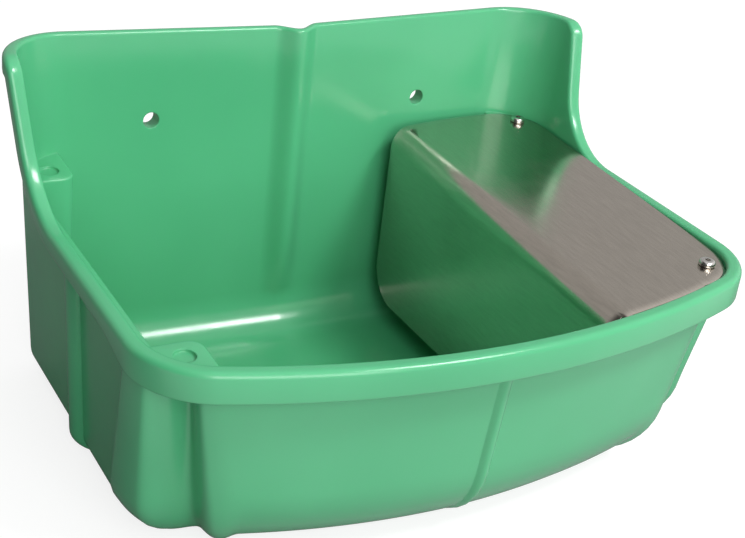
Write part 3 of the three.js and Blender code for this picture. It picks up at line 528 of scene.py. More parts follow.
def on_plan(station, plan, height):
    """Where a station lies on a plan, as x, depth, and the way out of the wall there."""
    zone, kind, value = station
    arc, centre, corner_x, corner_depth, corner_turn = plan_corner(plan)
    rear_x = plan["half"] - plan["rear_radius"]
    rear_depth = plan["back"] + plan["rear_radius"]
    if zone == "back":
        x = value if kind == "x" else mix(RIDGE_HALF, rear_x, value)
        return x, plan["back"] + bow_at(x) + ridge_at(x, height), 0, -1
    if zone == "rear":
        out_x = math.sin(value * RIGHT_ANGLE)
        out_depth = -math.cos(value * RIGHT_ANGLE)
        x = rear_x + plan["rear_radius"] * out_x
        return x, rear_depth + plan["rear_radius"] * out_depth + bow_at(x), out_x, out_depth
    if zone == "side":
        reach = (SIDE_END - SIDE_START) / SIDE_REACH_PARTS
        near_rear = clamp(1 - (value - SIDE_START) / reach)
        near_front = clamp(1 - (SIDE_END - value) / reach)
        shift = near_rear * (rear_depth - SIDE_START) + near_front * (corner_depth - SIDE_END)
        return plan["half"], value + shift, 1, 0
    if zone == "corner":
        out_x = math.cos(value * corner_turn)
        out_depth = math.sin(value * corner_turn)
        radius = plan["front_radius"]
        return corner_x + radius * out_x, corner_depth + radius * out_depth, out_x, out_depth
    x = value if kind == "x" else value * arc * math.cos(corner_turn)
    out_x = x / arc
    out_depth = math.sqrt(1 - out_x ** 2)
    return x, centre + arc * out_depth, out_x, out_depth


def rib_at(station):
    if station[0] != "side":
        return 0
    offset = abs(station[2] - RIB_DEPTH) / RIB_HALF
    return RIB_RISE * math.sqrt(1 - offset ** 2) if offset < 1 else 0


def bead_at(station):
    if station[:2] != ("front", "x"):
        return 0
    return BEAD_RISE * math.cos(station[2] / BEAD_HALF * RIGHT_ANGLE)


def corner_relief_at(station):
    """The corner swells to a column at its side end, falls to a flute, and comes back to the wall."""
    zone, _, value = station
    if zone == "side":
        return COLUMN_BULGE * smooth(1 - (SIDE_END - value) / COLUMN_RISE_LENGTH)
    if zone != "corner":
        return 0
    fall = smooth((value - COLUMN_END_SHARE) / (FLUTE_DEEP_SHARE - COLUMN_END_SHARE))
    rise = smooth((value - FLUTE_DEEP_SHARE) / (FLUTE_END_SHARE - FLUTE_DEEP_SHARE))
    return mix(COLUMN_BULGE, -FLUTE, fall) + FLUTE * rise


def pushed(spot, amount, height):
    """A spot of on_plan moved out by an amount, as (x, depth, height)."""
    x, depth, out_x, out_depth = spot
    return x + out_x * amount, depth + out_depth * amount, height


def fillet_radii(station, thickness):
    zone, kind, value = station
    side = SIDE_FILLET
    front = FRONT_FILLET
    if zone in ("corner", "front"):
        side = POST_SIDE_FILLET
    if zone == "side":
        side = mix(SIDE_FILLET, POST_SIDE_FILLET, smooth(1 - (SIDE_END - value) / POST_FILLET_LENGTH))
    if zone == "corner":
        share = smooth((value - POST_FILLET_SHARE) / (1 - POST_FILLET_SHARE))
        front = mix(POST_FRONT_FILLET, FRONT_END_FILLET, share)
    if zone == "front":
        front = mix(FRONT_FILLET, FRONT_END_FILLET, value if kind == "share" else value / RIM_CORNER_X)
    return dict(side=side + thickness, back=BACK_FILLET + thickness, front=front + thickness)


def fillet_point(station, angle, radii, base, offset, rear_radius, relief):
    """A point of the round at the wall's foot, from the wall at angle 0 to the floor at a right angle."""
    rise = 1 - math.sin(angle)
    run = 1 - math.cos(angle)
    heights = {side: base + radius * rise for side, radius in radii.items()}
    insets = {side: radius * run for side, radius in radii.items()}
    spot = on_plan(station, lower_plan(heights, insets, offset, rear_radius), heights["back"])
    _, _, out_x, out_depth = spot
    lengthways = heights["front"] if out_depth > 0 else heights["back"]
    height = out_x ** 2 * heights["side"] + out_depth ** 2 * lengthways
    return pushed(spot, relief * (1 - run), height)


def lower_point(station, height, offset, rear_radius, relief):
    sides = ("side", "back", "front")
    plan = lower_plan({s: height for s in sides}, {s: 0 for s in sides}, offset, rear_radius)
    return pushed(on_plan(station, plan, height), relief, height)


def upper_point(station, height, offset):
    return pushed(on_plan(station, upper_plan(height, offset), height), 0, height)


def rim_at(x, depth):
    """The rim's height at a spot, and the way down into the wall there, as (depth, height)."""
    dip = BACK_DIP * (1 - min(1, abs(x) / RIM_HALF))
    if depth <= SHOULDER_DEPTH:
        return BACK_HEIGHT - dip, (0, -1)
    if depth <= SHOULDER_END:
        angle = math.asin((depth - SHOULDER_DEPTH) / SHOULDER_RADIUS)
        height = BACK_HEIGHT - dip - SHOULDER_RADIUS * (1 - math.cos(angle))
        return height, (-math.sin(angle), -math.cos(angle))
    if depth <= BEND_START:
        height = SHOULDER_LOW - (depth - SHOULDER_END) / math.tan(WING_LEAN)
        return height, (-math.cos(WING_LEAN), -math.sin(WING_LEAN))
    if depth < BEND_END:
        angle = math.acos((BEND_END - depth) / WING_BEND)
        height = RIM_HEIGHT + WING_BEND * (1 - math.sin(angle))
        return height, (-math.cos(angle), -math.sin(angle))
    return RIM_HEIGHT, (0, -1)


FILLET_TURNS = [(1 - s) * RIGHT_ANGLE for s in shares(FILLET_STEPS)]
WALL_HEIGHTS = [KNEE_HEIGHT + s * (LEDGE_HEIGHT - KNEE_HEIGHT) for s in shares(WALL_STEPS)[1:-1]]


def between(start, end, places):
    return [tuple(mix(a, b, s) for a, b in zip(start, end)) for s in places]


def inner_points(station, offset):
    """A section's points on the drinking side, from the floor up to the ledge."""
    flute = min(0, corner_relief_at(station))
    radii = fillet_radii(station, 0)
    points = [fillet_point(station, a, radii, FLOOR - offset, offset, LOWER_REAR_RADIUS, flute)
              for a in FILLET_TURNS]
    for height in [KNEE_HEIGHT, *WALL_HEIGHTS, LEDGE_HEIGHT - offset]:
        points.append(lower_point(station, height, offset, LOWER_REAR_RADIUS, flute))
    points.append(upper_point(station, LEDGE_HEIGHT + LEDGE_FALL, offset))
    return points


def bowl_section(station):
    """A section's points: up the inside, over the rim, round the skirt's edge and down the outside."""
    x, depth = on_plan(station, lip_plan(RIM_HEIGHT), RIM_HEIGHT)[:2]
    height, down = rim_at(x, depth)
    lip = on_plan(station, lip_plan(height), height)
    edge = on_plan(station, upper_plan(height, 0), height)
    width = math.hypot(lip[0] - edge[0], lip[1] - edge[1])

    def on_rim(out, drop):
        rim_x = mix(edge[0], lip[0], out / width)
        rim_depth = mix(edge[1], lip[1], out / width)
        return rim_x, rim_depth + drop * down[0], height + drop * down[1]

    relief = rib_at(station) + bead_at(station) + corner_relief_at(station)
    drop_share = smooth((lip[1] - SKIRT_DROP_START) / (SKIRT_DROP_END - SKIRT_DROP_START))
    skirt = mix(SIDE_SKIRT, FRONT_SKIRT, drop_share)
    inner = RIM_INNER_ROUND
    outer = RIM_OUTER_ROUND
    edge_round = SKIRT / 2
    ease = UNDER_RIM_EASE
    points = inner_points(station, 0)
    points += between(points[-1], on_rim(0, inner), LEDGE_TO_RIM_SHARES)
    for turn_to in [s * RIGHT_ANGLE for s in shares(RIM_INNER_STEPS)]:
        points.append(on_rim(inner * (1 - math.cos(turn_to)), inner * (1 - math.sin(turn_to))))
    for turn_to in [s * RIGHT_ANGLE for s in shares(RIM_OUTER_STEPS)]:
        points.append(on_rim(width - outer + outer * math.sin(turn_to), outer * (1 - math.cos(turn_to))))
    for turn_to in [s * math.pi for s in shares(SKIRT_EDGE_STEPS)]:
        out = width - edge_round + edge_round * math.cos(turn_to)
        points.append(on_rim(out, skirt - edge_round + edge_round * math.sin(turn_to)))
    points += [on_rim(width - SKIRT, FLANGE + ease), on_rim(width - SKIRT - ease, FLANGE)]
    points += [on_rim(WALL + ease, FLANGE), on_rim(WALL, FLANGE + ease)]
    outside = upper_point(station, LEDGE_HEIGHT + LEDGE_FALL, WALL)
    points += between(points[-1], outside, UNDER_RIM_SHARES)
    points.append(outside)
    for height in [LEDGE_HEIGHT - WALL, *reversed(WALL_HEIGHTS), KNEE_HEIGHT]:
        points.append(lower_point(station, height, WALL, OUTER_REAR_RADIUS, relief))
    radii = fillet_radii(station, WALL)
    points += [fillet_point(station, a, radii, 0, WALL, OUTER_REAR_RADIUS, relief)
               for a in reversed(FILLET_TURNS)]
    return points


def loops_of(section):
    """Loops all the way round, from the right half's sections and their mirror images."""
    right = [section(station) for station in STATIONS]
    left = [[(-x, d, h) for x, d, h in points] for points in reversed(right[1:-1])]
    return [list(row) for row in zip(*(right + left))]


def post_space():
    """The bowl's inside, out to the middle of its wall, which the posts are kept to."""
    offset = WALL / 2
    top = REAR_SEAT + WALL
    loops = loops_of(lambda station: inner_points(station, offset) + [upper_point(station, top, offset)])
    return loft("space", loops)


def corner_post(side, post, free_depth, wall_depth, space):
    """A screw post from its free side to the wall, with a sloping top, cut to the bowl's inside."""
    inner_x = post[0] - POST_WALL
    way = math.copysign(1, wall_depth - free_depth)
    outline = [(inner_x, wall_depth)]
    for s in shares(POST_STEPS):
        outline.append((inner_x + POST_ROUND * (1 - math.cos(s * RIGHT_ANGLE)),
                        free_depth + way * POST_ROUND * (1 - math.sin(s * RIGHT_ANGLE))))
    outline += [(RIM_HALF, free_depth), (RIM_HALF, wall_depth)]
    solid = prism("post", [(side * x, d) for x, d in outline], FLOOR / 2, REAR_SEAT)
    limit = place(0, 0, (FLOOR + FRONT_SEAT) / 2).z
    for vertex in solid.data.vertices:
        if vertex.co.z > limit:
            vertex.co.z = place(0, 0, seat_at(-vertex.co.y / MM)).z
    bevel(solid, POST_EDGE_ROUND, POST_EDGE_SEGMENTS, POST_EDGE_ANGLE)
    copy = space.copy()
    copy.data = space.data.copy()
    bpy.context.scene.collection.objects.link(copy)
    return combine(solid, copy, "INTERSECT")


def recess_profile(with_insert):
    """The round recess in a post's top, with the hole for its insert below where it has one."""
    profile = [
        (RECESS_RADIUS - RECESS_CHAMFER, -RECESS_DEPTH),
        (RECESS_RADIUS, -RECESS_DEPTH + RECESS_CHAMFER),
        (RECESS_RADIUS, RECESS_REACH),
        (0, RECESS_REACH),
    ]
    if not with_insert:
        return [(0, -RECESS_DEPTH), *profile]
    hole = [(0, -INSERT_HOLE_DEPTH), (INSERT_HOLE_RADIUS, -INSERT_HOLE_DEPTH)]
    return [*hole, (INSERT_HOLE_RADIUS, -RECESS_DEPTH), *profile]


def make_bowl():
    bowl = loft("bowl_shell", loops_of(bowl_section))
    space = post_space()
    for side in (-1, 1):
        rear = corner_post(side, REAR_POST, REAR_POST[1] + POST_WALL, 0, space)
        front = corner_post(side, FRONT_POST, FRONT_POST[1] - POST_WALL, RIM_DEPTH, space)
        combine(bowl, rear, "UNION")
        combine(bowl, front, "UNION")
        boss = rod("boss", BOSS_RADIUS, back_inner_at(BOLT_HOLE_HEIGHT) + bow_at(BOLT_X) - WALL / 2)
        combine(bowl, move(turn(boss, RIGHT_ANGLE, "X"), side * BOLT_X, 0, BOLT_HOLE_HEIGHT), "UNION")
    bpy.data.objects.remove(space)
    wall_x = LOWER_HALF - WALL_DRAFT * (LEDGE_HEIGHT - INLET_HEIGHT)
    pad_inner = wall_x - PAD_STAND
    pad_length = WALL + 2 * PAD_STAND
    pad = turn(rod("pad", PAD_RADIUS, pad_length), RIGHT_ANGLE, "Y")
    combine(bowl, move(pad, pad_inner, INLET_DEPTH, INLET_HEIGHT), "UNION")
    hole = turn(rod("hole", TAIL_HOLE, pad_length + 2 * CUT_PAST), RIGHT_ANGLE, "Y")
    combine(bowl, move(hole, pad_inner - CUT_PAST, INLET_DEPTH, INLET_HEIGHT), "DIFFERENCE")
    hole = rod("hole", DRAIN_RADIUS, FLOOR + 2 * CUT_PAST)
    combine(bowl, move(hole, 0, DRAIN_DEPTH, -CUT_PAST), "DIFFERENCE")
    for side in (-1, 1):
        hole = turn(rod("hole", BOLT_RADIUS, BOLT_HOLE_LENGTH), RIGHT_ANGLE, "X")
        combine(bowl, move(hole, side * BOLT_X, -CUT_PAST, BOLT_HOLE_HEIGHT), "DIFFERENCE")
        for x, depth in (REAR_POST, FRONT_POST):
            recess = turn(turned("recess", recess_profile(side > 0)), TILT, "X")
            combine(bowl, move(recess, side * x, depth, seat_at(depth)), "DIFFERENCE")
    return shade(bowl, BOWL_CREASE)


# Materials

# The places of a mix node's sockets, for two colours and for two numbers
MIX_SHARE = 0
COLOUR_FIRST = 6
COLOUR_SECOND = 7
COLOUR_RESULT = 2
NUMBER_FIRST = 2
NUMBER_SECOND = 3
NUMBER_RESULT = 0


class Nodes:
    """A material's node tree, with short calls for the nodes that it needs."""

    def __init__(self, name):
        self.material = bpy.data.materials.new(name)
        self.material.use_nodes = True
        self.tree = self.material.node_tree
        self.shader = self.tree.nodes["Principled BSDF"]
        self.points = self.add("ShaderNodeTexCoord").outputs["Object"]
        self.surface = self.tree.nodes["Material Output"].inputs["Surface"]

    def add(self, kind, **values):
        node = self.tree.nodes.new(kind)
        for key, value in values.items():
            setattr(node, key, value)
        return node

    def link(self, output, target):
        self.tree.links.new(output, target)

    def noise(self, scale, detail, rough=0.5, stretch=None):
        node = self.add("ShaderNodeTexNoise")
        node.inputs["Scale"].default_value = scale
        node.inputs["Detail"].default_value = detail
        node.inputs["Roughness"].default_value = rough
        points = self.points
        if stretch:
            mapping = self.add("ShaderNodeMapping")
            mapping.inputs["Scale"].default_value = stretch
            self.link(points, mapping.inputs["Vector"])
            points = mapping.outputs["Vector"]
        self.link(points, node.inputs["Vector"])
        return node.outputs["Fac"]

    def spread(self, value, low, high):
        """A noise value as a number between low and high."""
        node = self.add("ShaderNodeMapRange")
        node.inputs["From Min"].default_value = NOISE_LOW
        node.inputs["From Max"].default_value = NOISE_HIGH
        node.inputs["To Min"].default_value = low
        node.inputs["To Max"].default_value = high
        self.link(value, node.inputs["Value"])
        return node.outputs["Result"]

    def blend(self, share, first, second):
        node = self.add("ShaderNodeMix", data_type="RGBA")
        node.inputs[COLOUR_FIRST].default_value = (*first, 1)
        node.inputs[COLOUR_SECOND].default_value = (*second, 1)
        self.link(share, node.inputs[MIX_SHARE])
        return node.outputs[COLOUR_RESULT]

    def times(self, colour, value):
        """A colour multiplied by a number."""
        node = self.add("ShaderNodeMix", data_type="RGBA", blend_type="MULTIPLY")
        node.inputs[MIX_SHARE].default_value = 1
        node.inputs[COLOUR_FIRST].default_value = (*colour, 1)
        self.link(value, node.inputs[COLOUR_SECOND])
        return node.outputs[COLOUR_RESULT]

    def bump(self, height, strength, distance, normal):
        node = self.add("ShaderNodeBump")
        node.inputs["Strength"].default_value = strength
        node.inputs["Distance"].default_value = distance
        self.link(height, node.inputs["Height"])
        self.link(normal, node.inputs["Normal"])
        return node.outputs["Normal"]

    def soft_edge(self, radius):
        node = self.add("ShaderNodeBevel", samples=EDGE_SAMPLES)
        node.inputs["Radius"].default_value = radius
        return node.outputs["Normal"]

    def set(self, **values):
        """Values for the shader's sockets, with underscores for the spaces in their names."""
        for key, value in values.items():
            self.shader.inputs[key.replace("_", " ")].default_value = value


def bowl_material():
    n = Nodes("moulded_green")
    tone = n.spread(n.noise(*GREEN_TONE_NOISE), 0, 1)
    n.link(n.blend(tone, *GREEN_TONES), n.shader.inputs["Base Color"])
    n.link(n.spread(n.noise(*GREEN_SHEEN_NOISE), *GREEN_ROUGHNESS), n.shader.inputs["Roughness"])
    normal = n.bump(n.noise(*GREEN_GRAIN_NOISE), *GREEN_GRAIN, n.soft_edge(GREEN_EDGE))
    n.link(n.bump(n.noise(*GREEN_WAVE_NOISE), *GREEN_WAVES, normal), n.shader.inputs["Normal"])
    n.set(**GREEN_DEPTH)
    return n.material


def steel_material(name, colour, roughness, grain, strength):
    n = Nodes(name)
    tone = n.spread(n.noise(*STEEL_TONE_NOISE, stretch=grain), *STEEL_TONES)
    n.link(n.times(colour, tone), n.shader.inputs["Base Color"])
    n.link(n.spread(n.noise(*STEEL_SHEEN_NOISE), *roughness), n.shader.inputs["Roughness"])
    lines = n.noise(*STEEL_GRAIN_NOISE, stretch=grain)
    normal = n.bump(lines, strength, STEEL_BUMP_DISTANCE, n.soft_edge(SMALL_EDGE))
    n.link(normal, n.shader.inputs["Normal"])
    n.set(Metallic=1)
    return n.material


def plain_material(name, tones, roughness, strength, scale, metallic=0):
    n = Nodes(name)
    tone = n.spread(n.noise(scale, PLAIN_TONE_DETAIL), 0, 1)
    n.link(n.blend(tone, *tones), n.shader.inputs["Base Color"])
    sheen = n.noise(scale * PLAIN_SHEEN_TIMES, PLAIN_FINE_DETAIL)
    n.link(n.spread(sheen, *roughness), n.shader.inputs["Roughness"])
    grain = n.noise(scale * PLAIN_GRAIN_TIMES, PLAIN_FINE_DETAIL)
    normal = n.bump(grain, strength, PLAIN_BUMP_DISTANCE, n.soft_edge(SMALL_EDGE))
    n.link(normal, n.shader.inputs["Normal"])
    n.set(Metallic=metallic)
    return n.material


GREEN = bowl_material()
SHEET = steel_material("stainless_sheet", (0.5, 0.45, 0.39), (0.16, 0.22), grain=(1, 0.1, 1), strength=0.02)
STEEL = steel_material("stainless_turned", (0.6, 0.58, 0.55), (0.2, 0.32), grain=(1, 1, 1), strength=0.06)
BRASS = plain_material("cast_brass", ((0.52, 0.36, 0.14), (0.62, 0.45, 0.2)), (0.25, 0.4),
                       strength=0.15, scale=90, metallic=1)
RUBBER = plain_material("black_rubber", ((0.012, 0.012, 0.012), (0.025, 0.025, 0.024)), (0.5, 0.65),
                        strength=0.3, scale=70)
WHITE = plain_material("white_plastic", ((0.74, 0.74, 0.7), (0.8, 0.8, 0.76)), (0.3, 0.42),
                       strength=0.1, scale=40)


def finish_piece(obj, name, material, body, *nodes):
    obj.name = name
    obj.data.materials.clear()
    obj.data.materials.append(material)
    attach(obj, body)
    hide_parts(*nodes)


# Cover and its screws

def cover_limits(x):
    """The rear and front depths of the cover's top at an x."""
    plan = dict(half=COVER_HALF, front=COVER_FRONT, front_radius=COVER_FRONT_RADIUS, arc=COVER_ARC)
    arc, centre, corner_x, corner_depth, _ = plan_corner(plan)
    rear_x = COVER_HALF - COVER_REAR_RADIUS
    if x > rear_x:
        rise = math.sqrt(max(0, COVER_REAR_RADIUS ** 2 - (x - rear_x) ** 2))
        rear = COVER_BACK + COVER_REAR_RADIUS - rise
    else:
        rear = COVER_BACK + COVER_SWEEP * (1 - (x - LEG_X) / (rear_x - LEG_X)) ** 2
    front = centre + math.sqrt(arc ** 2 - x ** 2)
    if x > corner_x:
        rounded = corner_depth + math.sqrt(max(0, COVER_FRONT_RADIUS ** 2 - (x - corner_x) ** 2))
        front = min(front, rounded)
    return rear, front


def front_wall_at(height):
    """The depth of the bowl's front wall, inside, at the leg and at a height."""
    fillet = mix(FRONT_FILLET, FRONT_END_FILLET, LEG_X / RIM_CORNER_X)
    wall = LOWER_FRONT - FRONT_DRAFT * (LEDGE_HEIGHT - height)
    arc = ARC_RADIUS - (RIM_DEPTH - wall)
    drop = max(0, FLOOR + fillet - height)
    inset = fillet - math.sqrt(fillet ** 2 - drop ** 2)
    return wall - arc + math.sqrt(arc ** 2 - LEG_X ** 2) - inset


def leg_limits(height):
    """The rear and front depths of the cover's leg at a height."""
    rear = COVER_BACK + COVER_SWEEP
    if height < LEG_FOOT + LEG_ROUND:
        drop = LEG_FOOT + LEG_ROUND - height
        rear += LEG_ROUND - math.sqrt(max(0, LEG_ROUND ** 2 - drop ** 2))
    front = front_wall_at(height) - LEG_GAP
    return rear, front


BEND_X = LEG_X + COVER_BEND
BEND_UP = SEAT_GAP + SHEET_THICK - COVER_BEND
LEG_TOP = REAR_SEAT + BEND_UP - SEAT_SLOPE * (FRONT_POST[1] - REAR_POST[1])
LEDGE_TOP = LEDGE_HEIGHT + LEDGE_FALL + 2 * SEAT_GAP


def cover_rows():
    """Rows up the leg, round the bend and out to the right, as (kind, x, level, rear, front)."""
    foot = [LEG_FOOT + LEG_ROUND * (1 - math.cos(s * RIGHT_ANGLE)) for s in shares(FOOT_STEPS)]
    leg = foot + [mix(foot[-1], LEG_TOP, s) for s in shares(LEG_STEPS, False)]
    rows = [("leg", LEG_X, height, *leg_limits(height)) for height in leg]
    for s in shares(COVER_BEND_STEPS, False):
        x = BEND_X - COVER_BEND * math.cos(s * RIGHT_ANGLE)
        up = BEND_UP + COVER_BEND * math.sin(s * RIGHT_ANGLE)
        rows.append(("top", x, up, *cover_limits(x)))
    corner_x = COVER_HALF - COVER_FRONT_RADIUS
    far = [mix(BEND_X, corner_x, s) for s in shares(COVER_TOP_STEPS, False)]
    far += [corner_x + COVER_FRONT_RADIUS * math.sin(s * RIGHT_ANGLE)
            for s in shares(COVER_CORNER_STEPS, False)]
    rows += [("top", x, SEAT_GAP + SHEET_THICK, *cover_limits(x)) for x in far]
    return rows


def cover_point(kind, x, level, rear, front, share):
    """A point of the sheet's outer face, a share of the way from its rear edge to its front edge."""
    depth = mix(rear, front, share)
    if kind == "leg":
        lift = (level - LEG_FOOT) / (LEG_TOP - LEG_FOOT) * SEAT_SLOPE * (FRONT_POST[1] - depth)
        return place(x, depth, level + lift)
    height = seat_at(depth) + level / math.cos(TILT)
    if height < LEDGE_TOP:
        limit = leg_limits(min(height, LEDGE_HEIGHT))[1]
        depth = mix(rear, min(front, limit), share)
    return place(x, depth, height)


def make_cover():
    """The bent sheet: a grid of points, given its thickness, with two screw holes and eased edges."""
    rows = cover_rows()
    points = [cover_point(*row, share) for row in rows for share in shares(COVER_DEPTH_STEPS)]
    faces = []
    count = COVER_DEPTH_STEPS + 1
    for row in range(len(rows) - 1):
        for a in range(row * count, row * count + COVER_DEPTH_STEPS):
            faces.append((a, a + 1, a + count + 1, a + count))
    cover = new_object("cover", points, faces)
    solid = cover.modifiers.new("sheet", "SOLIDIFY")
    solid.thickness = SHEET_THICK * MM
    solid.offset = -1
    solid.use_even_offset = True
    apply_modifiers(cover)
    face_out(cover)
    for x, depth in (REAR_POST, FRONT_POST):
        hole = turn(rod("hole", SCREW_HOLE, SCREW_HOLE_LENGTH), TILT, "X")
        combine(cover, move(hole, x, depth, seat_at(depth) - SCREW_HOLE_DROP), "DIFFERENCE")
    bevel(cover, COVER_EDGE_ROUND, COVER_EDGE_SEGMENTS, COVER_EDGE_ANGLE)
    return shade(cover, COVER_CREASE)


def make_screw(x, depth, name):
    """A pan-head screw with a hexagon socket, standing on the cover at a post."""
    profile = [
        (0, -SHANK_LENGTH),
        (SHANK_RADIUS - TIP_CHAMFER, -SHANK_LENGTH),
        (SHANK_RADIUS, -TIP_START),
        (SHANK_RADIUS, 0),
        (HEAD_RADIUS - HEAD_CHAMFER, 0),
        (HEAD_RADIUS, HEAD_CHAMFER),
        (HEAD_RADIUS, HEAD_HEIGHT - HEAD_ROUND),
    ]
    for turn_to in [s * RIGHT_ANGLE for s in shares(HEAD_STEPS, False)]:
        profile.append((HEAD_RADIUS - HEAD_ROUND * (1 - math.cos(turn_to)),
                        HEAD_HEIGHT - HEAD_ROUND * (1 - math.sin(turn_to))))
    profile.append((0, HEAD_HEIGHT))
    screw = turned("screw", profile)
    socket = rod("socket", SOCKET_ACROSS / 2 / math.cos(SOCKET_HALF_SIDE), SOCKET_LENGTH, SOCKET_SIDES)
    transform(socket, Matrix.Translation((0, 0, SOCKET_FLOOR * MM)))
    combine(screw, socket, "DIFFERENCE")
    turn(screw, TILT, "X")
    lift = SEAT_GAP + SHEET_THICK + SEAT_GAP
    move(screw, x, depth + lift * math.sin(TILT), seat_at(depth) + lift * math.cos(TILT))
    shade(screw, SCREW_CREASE)
    finish_piece(screw, name + "_turned", STEEL, "bowl", name)


def smooth_copy(node, material, body):
    """A piece with a CAD node's own mesh, and its round faces shaded smooth."""
    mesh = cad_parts[node].data.copy()
    obj = bpy.data.objects.new(node + "_smooth", mesh)
    bpy.context.scene.collection.objects.link(obj)
    face_out(obj)
    shade(obj, COPY_CREASE)
    finish_piece(obj, node + "_smooth", material, body, node)


finish_piece(make_bowl(), "bowl_moulding", GREEN, "bowl", "bowl")
finish_piece(make_cover(), "cover_sheet", SHEET, "bowl", "cover_plate")
make_screw(*REAR_POST, "cover_screw_rear")
make_screw(*FRONT_POST, "cover_screw_front")

# CAD nodes whose shape is right, and which get smooth faces and a material
COPIES = (
    ("insert_rear", BRASS, "bowl"), ("insert_front", BRASS, "bowl"), ("valve_body", BRASS, "bowl"),
    ("inlet_seal", RUBBER, "bowl"), ("inlet_washer", STEEL, "bowl"), ("inlet_nut", BRASS, "bowl"),
    ("nozzle", WHITE, "bowl"), ("pivot_pin", STEEL, "bowl"), ("pivot_clip", STEEL, "bowl"),
    ("piston", BRASS, "piston"), ("piston_disc", RUBBER, "piston"), ("drain_plug", RUBBER, "plug"),
    ("float_lever", BRASS, "float_arm"), ("float_rod", STEEL, "float_arm"), ("float", WHITE, "float_arm"),
    ("float_washer_rear", STEEL, "float_arm"), ("float_washer_front", STEEL, "float_arm"),
    ("float_nut_rear", STEEL, "float_arm"), ("float_nut_front", STEEL, "float_arm"),
)
for node, material, body in COPIES:
    smooth_copy(node, material, body)


# Camera

camera_data = bpy.data.cameras.new("camera")
camera_data.sensor_width = SENSOR_WIDTH
camera_data.lens = SENSOR_WIDTH * FOCAL_PX / IMAGE_WIDTH
camera_data.shift_x = (IMAGE_WIDTH / 2 - CENTRE_PX[0]) / IMAGE_WIDTH
camera_data.shift_y = (CENTRE_PX[1] - IMAGE_HEIGHT / 2) / IMAGE_WIDTH
camera_data.clip_start = CLIP_START
camera_data.clip_end = CLIP_END
camera = bpy.data.objects.new("camera", camera_data)
bpy.context.scene.collection.objects.link(camera)
back = -AHEAD.normalized()
up = (UP - back * UP.dot(back)).normalized()
right = up.cross(back)
turned_to = Matrix((right, up, back)).transposed().to_4x4()
camera.matrix_world = Matrix.Translation(EYE) @ turned_to
bpy.context.scene.camera = camera


# Floor, world and lamps

def faded(tree, value, start_end, low_high):
    """A value that passes smoothly from low to high between start and end."""
    fade = tree.nodes.new("ShaderNodeMapRange")
    fade.interpolation_type = "SMOOTHSTEP"
    fade.inputs["From Min"].default_value = start_end[0]
    fade.inputs["From Max"].default_value = start_end[1]
    fade.inputs["To Min"].default_value = low_high[0]
    fade.inputs["To Max"].default_value = low_high[1]
    tree.links.new(value, fade.inputs["Value"])
    return fade.outputs["Result"]


def floor_material():
    n = Nodes("pale_floor")
    n.set(Base_Color=(FLOOR_TONE, FLOOR_TONE, FLOOR_TONE, 1), Roughness=FLOOR_ROUGHNESS)
    n.set(Specular_IOR_Level=FLOOR_SPECULAR)
    parts = n.add("ShaderNodeSeparateXYZ")
    n.link(n.add("ShaderNodeNewGeometry").outputs["Position"], parts.inputs[0])
    in_front = faded(n.tree, parts.outputs["Y"], FLOOR_FADE, (1, 0))
    path = n.add("ShaderNodeLightPath")
    mirrored = n.add("ShaderNodeMath", operation="MULTIPLY")
    n.link(in_front, mirrored.inputs[0])
    n.link(path.outputs["Is Glossy Ray"], mirrored.inputs[1])
    shown = n.add("ShaderNodeMath", operation="MAXIMUM")
    n.link(path.outputs["Is Camera Ray"], shown.inputs[0])
    n.link(mirrored.outputs[0], shown.inputs[1])
    strength = n.add("ShaderNodeMath", operation="MULTIPLY")
    n.link(shown.outputs[0], strength.inputs[0])
    strength.inputs[1].default_value = FLOOR_LIGHT
    light = n.add("ShaderNodeEmission")
    n.link(strength.outputs[0], light.inputs["Strength"])
    total = n.add("ShaderNodeAddShader")
    n.link(n.shader.outputs[0], total.inputs[0])
    n.link(light.outputs[0], total.inputs[1])
    n.link(total.outputs[0], n.surface)
    return n.material


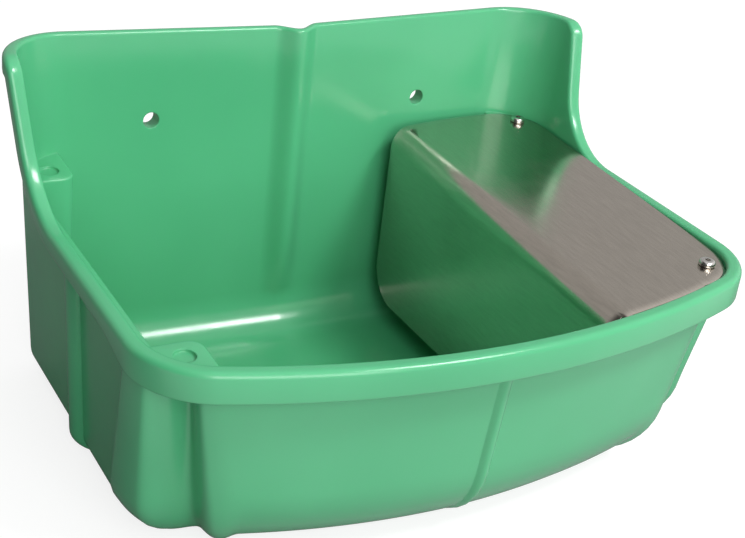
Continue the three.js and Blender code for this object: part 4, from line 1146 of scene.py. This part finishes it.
floor_corners = [(x * FLOOR_HALF, y * FLOOR_HALF, 0) for x, y in ((-1, -1), (1, -1), (1, 1), (-1, 1))]
floor = new_object("floor", floor_corners, [(0, 1, 2, 3)])
floor.location.z = (-BOLT_HOLE_HEIGHT - STAGE_GAP) * MM
floor.data.materials.append(floor_material())


def chosen(tree, share, first, second):
    """The first value, a node's output, where the share is 0, and the second, a number, where it is 1."""
    choice = tree.nodes.new("ShaderNodeMix")
    tree.links.new(share, choice.inputs[MIX_SHARE])
    tree.links.new(first, choice.inputs[NUMBER_FIRST])
    choice.inputs[NUMBER_SECOND].default_value = second
    return choice.outputs[NUMBER_RESULT]


def make_world():
    """A studio that is white to the camera, bright from the front and right, and dark on the left."""
    scene_world = bpy.data.worlds.new("studio")
    bpy.context.scene.world = scene_world
    scene_world.use_nodes = True
    tree = scene_world.node_tree
    background = tree.nodes["Background"]
    background.inputs["Color"].default_value = (1, 1, 1, 1)
    way = tree.nodes.new("ShaderNodeTexCoord").outputs["Generated"]
    facing = tree.nodes.new("ShaderNodeVectorMath")
    facing.operation = "DOT_PRODUCT"
    facing.inputs[1].default_value = BRIGHT_SIDE
    tree.links.new(way, facing.inputs[0])
    parts = tree.nodes.new("ShaderNodeSeparateXYZ")
    tree.links.new(way, parts.inputs[0])
    light = faded(tree, facing.outputs["Value"], WORLD_FADE, WORLD_LIGHT)
    beyond = faded(tree, parts.outputs["Y"], BACK_FADE, (0, 1))
    path = tree.nodes.new("ShaderNodeLightPath")
    level = chosen(tree, path.outputs["Is Camera Ray"], chosen(tree, beyond, light, BACK_LIGHT), 1)
    tree.links.new(level, background.inputs["Strength"])


make_world()


def make_lamp(name, spot, width, length, watts):
    data = bpy.data.lights.new(name, "AREA")
    data.shape = "RECTANGLE"
    data.size = width
    data.size_y = length
    data.energy = watts
    obj = bpy.data.objects.new(name, data)
    bpy.context.scene.collection.objects.link(obj)
    obj.location = spot
    obj.rotation_euler = (LAMP_TARGET - Vector(spot)).to_track_quat("-Z", "Y").to_euler()


for name, values in LAMPS.items():
    make_lamp(name, **values)

bpy.context.scene.view_settings.view_transform = "Standard"
